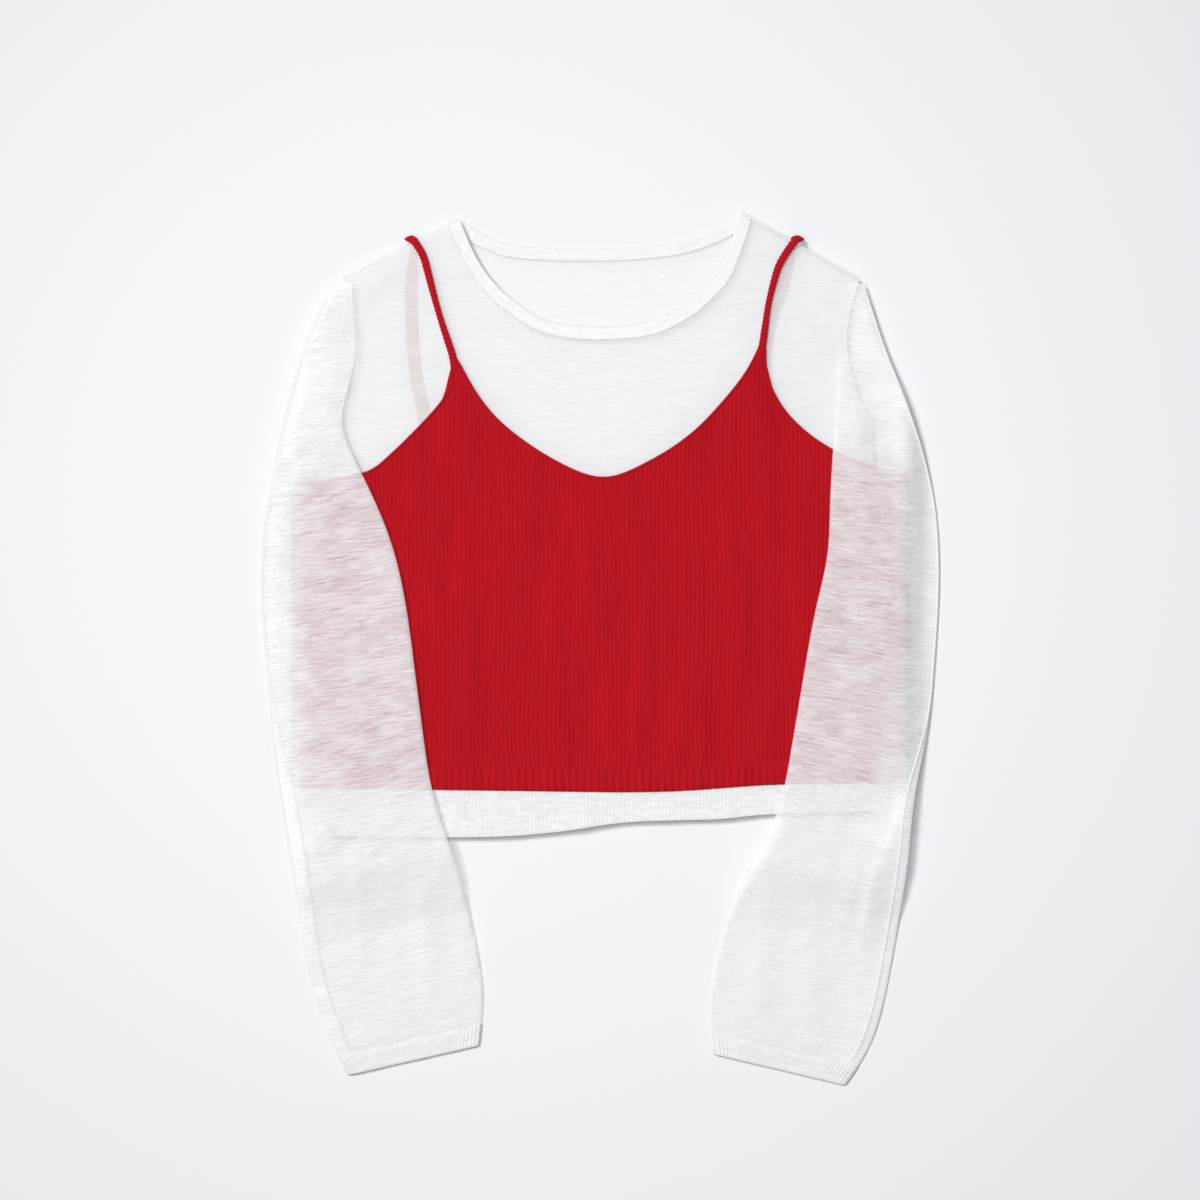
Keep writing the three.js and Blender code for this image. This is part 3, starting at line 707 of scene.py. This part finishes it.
def add_strap(side, out):
    """A knitted cord up the front, round the shoulder and down the back under the top."""
    name = f"camisole_{side}_strap"
    front, back = strap_line(name, True), strap_line(name, False)[::-1]
    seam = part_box(f"top_{side}_shoulder_seam")
    slope = math.atan2(seam[0][1] - seam[1][1], seam[1][0] - seam[0][0]) * out
    outward = np.array([-math.sin(slope), math.cos(slope)])
    top, under = FRONT_Z + 0.35, BACK_Z + 0.05
    foot = front[0] + np.array([[-3.2 * out, -16], [-2.4 * out, -11], [-1.2 * out, -5.5]])
    front[:, 0] += out * 1.2 * smooth(front[-1, 1] - 10, front[-1, 1] + 1, front[:, 1]) ** 1.5
    front = np.vstack([foot, front])
    start, stop = front[-1], back[0]
    turn = np.linspace(0, math.pi, 15)[1:-1]
    gone = (1 - np.cos(turn)) / 2
    bulge = outward * 1.8 + np.array([out * 3.6, 0])
    hook = start + (stop - start) * gone[:, None] + bulge * np.sin(turn)[:, None]
    hook_z = mix(under, top, (1 + np.cos(turn)) / 2)
    lift = STRAP_LIFT * smooth(front[3, 1] - 18, front[3, 1] + 2, front[:, 1]) - STRAP_SINK
    path = np.vstack([
        np.column_stack([front, camisole_front_z(front[:, 0], front[:, 1]) + lift]),
        np.column_stack([hook, hook_z]),
        np.column_stack([back, np.full(len(back), under)]),
    ])
    ups = np.vstack([
        np.tile([0.0, 0.0, 1.0], (len(front), 1)),
        np.column_stack([outward[0] * np.sin(turn), outward[1] * np.sin(turn), np.cos(turn)]),
        np.tile([0.0, 0.0, -1.0], (len(back), 1)),
    ])
    line = even(np.hstack([path, ups]), 0.8)
    path, ups = eased(line[:, :3], 3), line[:, 3:]
    run = np.linspace(0, 1, len(path))
    gone_behind = len(front) / (len(front) + len(back))
    behind = smooth(gone_behind + 0.08, gone_behind + 0.2, run)
    thick = mix(1.0, 0.5, behind)
    # narrowest a little above its foot, and laid flat and wide behind
    wide = mix(2.6 - 0.5 * np.exp(-((run - 0.16) / 0.07) ** 2), 4.4, behind)
    sweep(name, path, wide, thick, red_edge, "red_edge", "camisole", [name], ups=ups, points=12,
          ripple=0.1, ripple_pitch=2.9)


for side, out in SIDES:
    add_strap(side, out)

# ---- The top's body ----

TOP_FRONT_Z = middle_z("top_front_panel")
TOP_BACK_Z = middle_z("top_back_panel")
TOP_MID_Z = (TOP_FRONT_Z + TOP_BACK_Z) / 2
SHOULDER_TIP_X = 181
TOP_HALF_WIDTH = 201.5  # at its hem
TOP_TAPER = 13  # how much less it is at the underarm
HEMS = {face: outline(f"top_{face}_hem_rib") for face in ("front", "back")}
TOP_BODY = {
    face: outline(f"top_{face}_panel", f"top_{face}_neck_band", "top_left_shoulder_seam",
                  "top_right_shoulder_seam", "top_left_armhole_seam", "top_right_armhole_seam",
                  "top_left_side_seam", "top_right_side_seam")
    for face in ("front", "back")
}


def shoulder_y(x):
    """The y of the shoulder edge at x."""
    far = np.clip(np.abs(x), 0, SHOULDER_TIP_X)
    found = {}
    for side, out in SIDES:
        box = box_of(f"top_{side}_shoulder_seam")
        found[out] = (*sorted(np.abs(box[:, 0])), box[1, 1], box[0, 1])
    left = np.interp(far, found[1][:2], found[1][2:])
    right = np.interp(far, found[-1][:2], found[-1][2:])
    return np.where(x > 0, left, right)


def top_edge_distance(x, y):
    """How far a place is from the top's closed edges, which are its sides and shoulders."""
    wide = TOP_HALF_WIDTH - TOP_TAPER * smooth(-60, UNDERARM_Y, y)
    side = (wide - np.abs(x)) + 30 * smooth(UNDERARM_Y - 16, UNDERARM_Y + 4, y)
    shoulder = (shoulder_y(x) - y) * 0.9 + 40 * (np.abs(x) < 92)
    return np.minimum(side, shoulder)


CHEST_FOLDS = (
    ([(-136, 272), (-155, 258), (-172, 236)], 2.3, (8, 13)),
    ([(120, 252), (143, 224), (163, 197)], 1.0, (5, 8)),
    ([(118, 226), (138, 204), (158, 192)], 0.8, (5, 7)),
    ([(-160, 210), (-140, 186), (-128, 168)], 0.7, (5, 8)),
    ([(-60, 214), (-38, 176), (-30, 140)], 0.7, (13, 20)),
    ([(52, 206), (34, 170), (26, 138)], 0.5, (18, 20)),
    ([(96, 214), (84, 190), (70, 172)], 0.7, (12, 14)),
)
HEM_WAVES = ((1.7, -14, 13), (1.5, 43, 15), (0.8, 86, 18), (0.8, -68, 20))  # rise, x and width


def chest_folds(x, y):
    """The soft folds on the shoulders and the sides of the chest."""
    return add_folds(0.0, x, y, CHEST_FOLDS)


def hem_folds(x, y):
    """The hem stands in soft waves."""
    rise = sum(high * np.exp(-(((x - at) / width) ** 2)) for high, at, width in HEM_WAVES)
    return rise * (1 - smooth(-124, -103, y))


def top_front_z(x, y):
    soft = 0.22 * waves(x, y, 90, 21) + 0.1 * waves(x, y, 34, 22)
    under = smooth(112, 150, y)  # the camisole holds it down below this
    raised = TOP_FRONT_Z + (soft + chest_folds(x, y)) * under + hem_folds(x, y)
    return mix(TOP_MID_Z + 0.3, raised, ledge(top_edge_distance(x, y)))


def top_back_z(x, y):
    soft = 0.15 * waves(x, y, 110, 23)
    return mix(TOP_MID_Z - 0.3, TOP_BACK_Z + soft, ledge(top_edge_distance(x, y)))


def top_panel(face, height):
    """The front or back of the top: two halves that share a line up to the neckline."""
    band = outline(f"top_{face}_neck_band")
    lowest = band[..., 1].min()
    middle_x = 2.0
    hem_x = np.linspace(-200, 200, 101)
    hem_line = hem_x, column_reach(HEMS[face], hem_x)[1] - 1.2
    hem_mean = float(np.mean(hem_line[1]))
    peak = {out: box_of(f"top_{side}_shoulder_seam")[1, 1] - 0.4 for side, out in SIDES}
    halves = []
    for side, out in SIDES:
        y = np.unique(np.concatenate([
            np.arange(hem_mean, peak[out], 2.0), np.arange(lowest, lowest + 12, 0.5),
            [peak[out]]]))
        first, last = row_reach(TOP_BODY[face], y)
        outer = last if out > 0 else first
        same_side = band[(band[..., 0] * out > middle_x * out).all(1)]
        near, far = row_reach(same_side, y)
        neck = near if out > 0 else far
        known = np.flatnonzero(np.isfinite(neck))
        inner = np.where(y < y[known[0]], middle_x, np.interp(y, y[known], neck[known]))
        share = np.linspace(0, 1, 92)
        x = mix(inner[:, None], outer[:, None], share[None])
        ground = np.interp(x, *hem_line)
        rows = y[:, None] + (ground - hem_mean) * (1 - smooth(0, 90, y[:, None] - hem_mean))
        grid = np.stack([x, rows, height(x, rows)], -1)
        halves.append((out, grid))
    vertices, faces, uvs, start = [], [], [], 0
    for out, grid in halves:
        flip = (out > 0) == (face == "front")
        faces.append(grid_faces(*grid.shape[:2], flip=flip, start=start))
        vertices.append(grid.reshape(-1, 3))
        uvs.append(grid[..., :2].reshape(-1, 2))
        start += grid.shape[0] * grid.shape[1]
    name = f"top_{face}_panel"
    return add_mesh(name, np.vstack(vertices), np.vstack(faces), np.vstack(uvs), sheer,
                    "white_knit", "top", [name])


def top_hem(face, height, sign):
    """The top's ribbed hem, a band of two rolled edges."""
    name = f"top_{face}_hem_rib"
    box = box_of(name)
    x = np.arange(box[0, 0] + 0.1, box[1, 0] - 0.1, 0.65)
    low, high = column_reach(HEMS[face], x)
    ribs = rib(x, WHITE_RIB_PITCH, 0.4)
    down = [(0.0, 0.35), (0.03, 0.5), (0.2, 0.45), (0.4, 0.45), (0.6, 0.45), (0.8, 0.45),
            (0.93, 0.5), (0.985, 0.4), (1.0, 0.0), (0.98, -0.3), (0.8, -0.4), (0.4, -0.4),
            (0.03, -0.3)]
    columns = []
    for share, out in down:
        y = mix(high + 0.3, low, share) + (0.18 * ribs if share > 0.95 else 0)
        rise = out + (ribs * 0.6 if out > 0.3 else 0)
        columns.append(np.stack([x, y, height(x, y) + sign * rise], -1))
    grid = np.stack(columns, 1)
    uv = section_uv(x, [share * 44 for share, _ in down])
    return add_grid(name, grid, uv, white_rib, "white_rib", "top", [name], wrap=True,
                    flip=sign < 0)


top_front = top_panel("front", top_front_z)
top_back = top_panel("back", top_back_z)
top_hems = [top_hem("front", top_front_z, 1), top_hem("back", top_back_z, -1)]


def neck_band(face, centre, start, end, height):
    """The ribbed neck band: a flat strip with a rolled edge at the neckline."""
    name = f"top_{face}_neck_band"
    ray, near, far = fan_reach(name, centre, start, end, int(abs(end - start) / 0.28))
    section = [(-0.01, 0.0), (-0.03, 0.2), (0.02, 0.38), (0.1, 0.4), (0.2, 0.24), (0.5, 0.2),
               (0.85, 0.2), (0.95, 0.26), (1.02, 0.2), (1.05, 0.05), (0.9, -0.1), (0.5, -0.1),
               (0.1, -0.1)]
    length = run_along(np.asarray(centre) + ray * near[:, None])
    columns, ribs = [], rib(length, NECK_RIB_PITCH, 0.14)
    for share, out in section:
        place = np.asarray(centre) + ray * mix(near, far, share)[:, None]
        z = height(place[:, 0], place[:, 1]) + out + (ribs if out > 0.15 else 0)
        columns.append(np.column_stack([place, z]))
    grid = np.stack(columns, 1)
    uv = section_uv(length, [share * 8 for share, _ in section])
    return add_grid(name, grid, uv, neck_rib, "white_rib", "top", [name], wrap=True)


neck_bands = [neck_band("front", (2, 305), -178, -2, top_front_z),
              neck_band("back", (0, 372), -150, -30, top_back_z)]


def edge_line(name, by_rows):
    """The middle of a narrow CAD node, row by row or column by column."""
    low, high = box_of(name)[:, 1 if by_rows else 0]
    at = np.linspace(low + 0.6, high - 0.6, 80)
    first, last = (row_reach if by_rows else column_reach)(outline(name), at)
    middle = (first + last) / 2
    return np.column_stack([middle, at] if by_rows else [at, middle])


def top_seam(name, path, half_width, half_height):
    return sweep(name, path, half_width, half_height, seam_white, "white_knit", "top", [name],
                 ripple=SEAM_RIPPLE)


def armhole_line(side, out):
    """Down the front beside the armhole, and back up behind."""
    name = f"top_{side}_armhole_seam"
    low, high = box_of(name)[:, 1]
    y = np.linspace(high - 1.5, low + 1.5, 60)
    first, last = row_reach(outline(name), y)
    x = (last if out > 0 else first) - out * 0.8
    down = np.column_stack([x, y, top_front_z(x, y) + 0.35])
    up = np.column_stack([x, y, top_back_z(x, y) + 0.1])[::-1]
    return eased(np.vstack([down, up]), 4)


for side, out in SIDES:
    for part, by_rows in (("shoulder_seam", False), ("side_seam", True)):
        line = edge_line(f"top_{side}_{part}", by_rows)
        path = np.column_stack([line, np.full(len(line), TOP_MID_Z)])
        top_seam(f"top_{side}_{part}", path, 0.8, 1.0)
    top_seam(f"top_{side}_armhole_seam", armhole_line(side, out), 0.75, 0.6)

# ---- The sleeves ----

SLEEVE_LEAN = {"left": 5.9, "right": 5.4}  # degrees that a sleeve's line leans in towards the hem
SLEEVE_LENGTH = {"left": 554.0, "right": 547.0}  # along its line, as it lies
SLEEVE_BIAS = 0.13  # how far its rays slope to the hem for each millimetre across, at the cuff
CUFF_SHARE = 0.9725  # where the cuff starts
SLEEVE_THICK = 3.3  # from its lower to its upper cloth
SLEEVE_BACK_Z = 3.0  # its lower cloth beside the armhole
SLEEVE_SHOULDER_Z = 8.3  # its upper cloth there
CUFF_PATTERN_LENGTH = 554  # the length that both cuffs' pattern is laid on
PATTERN_SHIFT = 300  # so that the two sleeves' patterns differ
SLEEVE_FOLDS = {
    "right": (
        ([(-184, 250), (-186, 190), (-182, 128)], 2.0, (6, 8)),
        ([(-172, 240), (-176, 200), (-170, 150)], 1.7, (4, 7)),
        ([(-214, 190), (-220, 130), (-222, 60)], 1.6, (9, 8)),
        ([(-150, 110), (-140, 20), (-128, -80)], 1.0, (8, 10)),
        ([(-190, 40), (-184, -40), (-176, -120)], 0.8, (14, 14)),
        ([(-170, -130), (-168, -180), (-164, -236)], 2.4, (10, 7)),
        ([(-128, -140), (-124, -196), (-112, -262)], 3.0, (13, 6)),
        ([(-146, -200), (-142, -240), (-140, -280)], 1.7, (9, 8)),
        ([(-104, -150), (-96, -196), (-90, -250)], 1.7, (9, 8)),
    ),
    "left": (
        ([(176, 246), (180, 190), (178, 128)], 2.0, (8, 6)),
        ([(212, 200), (220, 130), (222, 40)], 1.6, (9, 9)),
        ([(150, 80), (146, -10), (138, -80)], 1.0, (10, 9)),
        ([(184, 60), (186, -30), (184, -90)], 0.8, (14, 14)),
        ([(218, -96), (204, -128), (190, -160), (180, -226)], 3.2, (11, 5)),
        ([(196, -120), (176, -166), (168, -230)], 1.9, (10, 9)),
        ([(116, -154), (128, -146), (140, -142)], 1.2, (5, 7)),
        ([(120, -170), (112, -220), (104, -270)], 1.6, (10, 9)),
        ([(150, -180), (146, -230), (142, -280)], 1.5, (10, 10)),
    ),
}


def sleeve_ridges(side, x, y):
    """The long soft folds and the unevenness of a sleeve's upper cloth."""
    uneven = 0.5 * waves(x, y, 60, 31) + 0.3 * waves(x, y * 0.4, 22, 32)
    return add_folds(uneven, x, y, SLEEVE_FOLDS[side])


def smoothed(values, rounds):
    """A grid of values, each drawn towards its neighbours."""
    for _ in range(rounds):
        padded = np.pad(values, 1, mode="edge")
        values = (padded[:-2, 1:-1] + padded[2:, 1:-1] + padded[1:-1, :-2] + padded[1:-1, 2:]
                  + 2 * values) / 6
    return values


class Sleeve:
    """A sleeve's place: a ray across it at each share of its length, and the CAD's heights."""

    def __init__(self, side, out):
        self.side, self.out = side, out
        joint = next(j for j in frame["joints"] if j["name"] == f"{side}_sleeve_swing")
        self.tip = np.array(joint["pos_m"][:2]) / MM
        lean = math.radians(SLEEVE_LEAN[side])
        self.down = np.array([-out * math.sin(lean), -math.cos(lean)])
        self.across = np.array([out * math.cos(lean), -math.sin(lean)])
        parts = ("sleeve_back", "sleeve_front", "sleeve_seam", "cuff_back", "cuff_front")
        self.edges = outline(*(f"{side}_{part}" for part in parts))
        self.armhole = outline(f"top_{side}_armhole_seam")
        self.samples = np.linspace(0.002, 0.9999, 420)
        self.ends = [eased_values(end, 170) for end in self.cad_reach(self.samples)]
        self.trees = {}
        for face in ("back", "front"):
            triangles = node_triangles(f"{side}_sleeve_{face}", f"{side}_cuff_{face}")
            points = triangles.reshape(-1, 3)
            self.trees[face] = BVHTree.FromPolygons(
                points.tolist(), np.arange(len(points)).reshape(-1, 3).tolist())

    def rays(self, shares):
        """Where the rays across the sleeve start, and which way they go."""
        shares = np.asarray(shares, float)
        origins = self.tip + self.down * (shares * SLEEVE_LENGTH[self.side])[:, None]
        return origins, self.across + self.down * (shares * SLEEVE_BIAS)[:, None]

    def cad_reach(self, shares):
        """How far along each ray the sleeve starts and ends. By the body it starts on the seam."""
        origins, rays = self.rays(shares)
        near, far = reach(self.edges, origins, rays)
        seam, _ = reach(self.armhole, origins, rays)
        seam = np.where(np.isfinite(seam), (seam + 1.0) * smooth(0, 0.04, shares), near)
        return np.where(shares < 0.2, np.minimum(near, seam), near), far

    def edge_reach(self, shares):
        """The rays at the shares, and the sleeve's smoothed edges along them."""
        near, far = (np.interp(shares, self.samples, end) for end in self.ends)
        return (*self.rays(shares), near, far)

    def heights(self, x, y):
        """The lowest cloth and the highest cloth of the CAD sleeve at each place."""
        low, high = np.full(x.shape, np.nan), np.full(x.shape, np.nan)
        casts = ((low, "back", -5, 1), (high, "front", 40, -1))  # from below, and from above
        for index in np.ndindex(x.shape):
            for values, face, start, way in casts:
                start_point = Vector((x[index], y[index], start))
                hit = self.trees[face].ray_cast(start_point, Vector((0, 0, way)))[0]
                if hit is not None:
                    values[index] = hit[2]
        for values in (low, high):
            for row in values:
                known = np.isfinite(row)
                gaps = np.flatnonzero(~known)
                if known.any():
                    row[~known] = np.interp(gaps, np.flatnonzero(known), row[known])
            # a row that was missed altogether is the same as the nearest whole one
            whole = np.flatnonzero(np.isfinite(values).all(1))
            nearest = np.abs(whole[None] - np.arange(len(values))[:, None]).argmin(1)
            values[:] = values[whole[nearest]]
        return low, high

    def seam_offset(self, shares):
        """How far in from the outer edge the sleeve's long seam lies on the upper cloth."""
        return mix(1.2, 9.5 if self.side == "right" else 7.0, smooth(0.5, 0.66, shares))

    def surfaces(self, shares, steps, thick):
        """Places across the sleeve at each share, with the heights of its lower and upper
        cloth there, how far in each is from the inner edge, and the sleeve's width."""
        origins, rays, near, far = self.edge_reach(shares)
        bend = (1 - np.cos(np.linspace(0, math.pi, steps))) / 2
        spread = 0.55 * bend + 0.45 * np.linspace(0, 1, steps)
        reach_at = mix(near[:, None], far[:, None], spread[None])
        place = origins[:, None] + rays[:, None] * reach_at[..., None]
        x, y = place[..., 0], place[..., 1]
        inset = mix(near[:, None] + 1.3, far[:, None] - 1.5, np.linspace(0, 1, 26)[None])
        sampled = origins[:, None] + rays[:, None] * inset[..., None]
        low, high = self.heights(sampled[..., 0], sampled[..., 1])
        low = smoothed(low, 5)
        low = np.array([np.interp(reach_at[i], inset[i], low[i]) for i in range(len(shares))])
        share = np.broadcast_to(np.asarray(shares)[:, None], x.shape)
        # the lower cloth leaves the body's back, then lies over the camisole
        low = mix(SLEEVE_BACK_Z, low + 0.25, smooth(0.07, 0.13, share))
        full = np.minimum(1, (far - near)[:, None] / 40)
        body = thick * mix(0.6, 1, smooth(0.1, 0.25, share)) * full
        crest = low + body + sleeve_ridges(self.side, x, y) * smooth(0.01, 0.1, share)
        inner, outer = reach_at - near[:, None], far[:, None] - reach_at
        shoulder = SLEEVE_SHOULDER_Z + chest_folds(x, y) * 0.8 + 2.4 * smooth(0, 26, inner) * full
        crest = mix(shoulder, crest, smooth(0.06, 0.22, share))
        joined = 1 - smooth(0.15, 0.2, share)  # by the armhole the inner edge is sewn, not folded
        round_in = np.maximum(ledge(inner, 4.2), joined)
        roll = mix(15 if self.side == "left" else 8, 7, smooth(0.35, 0.6, share))
        round_out = ledge(outer, roll)
        middle = mix(low, crest, 0.42)
        upper = mix(middle + 0.2, crest, np.minimum(round_in, round_out))
        under = mix(middle - 0.2, low, np.minimum(np.maximum(round_in, joined), round_out))
        return x, y, under, upper, inner, far - near

    def build(self):
        """The sleeve's cloth as one sheet that goes over the top and back below, and its seam."""
        side = self.side
        shares = np.concatenate([np.linspace(0.004, 0.03, 8)[:-1],
                                 np.linspace(0.03, CUFF_SHARE + 0.002, 236)])
        x, y, under, upper, offset, width = self.surfaces(shares, 66, SLEEVE_THICK)
        top = np.stack([x, y, upper], -1)
        bottom = np.stack([x, y, under], -1)[:, ::-1]
        grid = np.concatenate([top, bottom, top[:, :1]], 1)
        run = np.broadcast_to((shares * SLEEVE_LENGTH[side])[:, None], grid.shape[:2])
        inward = offset - width[:, None]  # from the outer fold, where u is 0
        girth = np.concatenate([inward, -inward[:, ::-1], width[:, None]], 1)
        uv = np.stack([girth, run + self.out * PATTERN_SHIFT], -1)
        sleeve = add_grid(f"{side}_sleeve", grid, uv, sleeve_sheer, "white_knit", None,
                          [f"{side}_sleeve_front", f"{side}_sleeve_back"], flip=self.out > 0)
        self.blend(sleeve)
        seam, seam_at = [], width - self.seam_offset(shares)
        for i in range(4, len(shares) - 1):
            seam.append([np.interp(seam_at[i], offset[i], value[i]) for value in (x, y, upper)])
        seam = eased(even(seam, 2.2), 6)
        seam[:, 2] += 0.15
        seam_piece = sweep(f"{side}_sleeve_seam", seam, 0.85, 0.6, seam_white, "white_knit",
                           None, [f"{side}_sleeve_seam"], ripple=SEAM_RIPPLE)
        self.blend(seam_piece)
        self.cuff()

    def cuff(self):
        """A ribbed cuff of two thicknesses, open at the wrist."""
        side = self.side
        down = [(0, 0.15), (0.06, 0.5), (0.3, 0.55), (0.6, 0.55), (0.85, 0.6), (0.95, 0.5),
                (1, 0.05), (0.97, -0.5), (0.8, -0.6), (0.4, -0.6), (0.05, -0.55)]
        shares = np.array([mix(CUFF_SHARE, 0.9998, share) for share, _ in down])
        x, y, under, upper, offset, width = self.surfaces(shares, 130, SLEEVE_THICK * 0.95)
        girth = np.concatenate([offset, (2 * width[:, None] - offset)[:, ::-1]], 1)
        lift = np.array([out for _, out in down])[:, None]
        ribs = rib(girth, CUFF_RIB_PITCH, 0.55) * np.where(lift > 0.1, 1, 0.3)
        above, below = ribs[:, :x.shape[1]], ribs[:, x.shape[1]:][:, ::-1]
        top = np.stack([x, y, np.maximum(upper + lift + above, 0.2)], -1)
        bottom = np.stack([x, y, np.maximum(under - lift + 0.5 - below * 0.5, 0.12)], -1)
        grid = np.concatenate([top, bottom[:, ::-1]], 1)
        run = np.broadcast_to((shares * CUFF_PATTERN_LENGTH)[:, None], girth.shape)
        return add_grid(f"{side}_cuff", grid, np.stack([girth, run], -1), white_rib,
                        "white_rib", f"{side}_sleeve",
                        [f"{side}_cuff_front", f"{side}_cuff_back"], wrap=True,
                        flip=self.out > 0)

    def blend(self, piece):
        """Bakes the piece's place into its mesh."""
        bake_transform(piece)


for side, out in SIDES:
    Sleeve(side, out).build()

# ---- The panels' outlines, read and not used ----


def declare_panel(node):
    """Reads the outline of a panel's CAD node, which is then not used."""
    edges = outline(node)


declare_panel("camisole_front_panel")
declare_panel("camisole_back_panel")
declare_panel("top_front_panel")
declare_panel("top_back_panel")
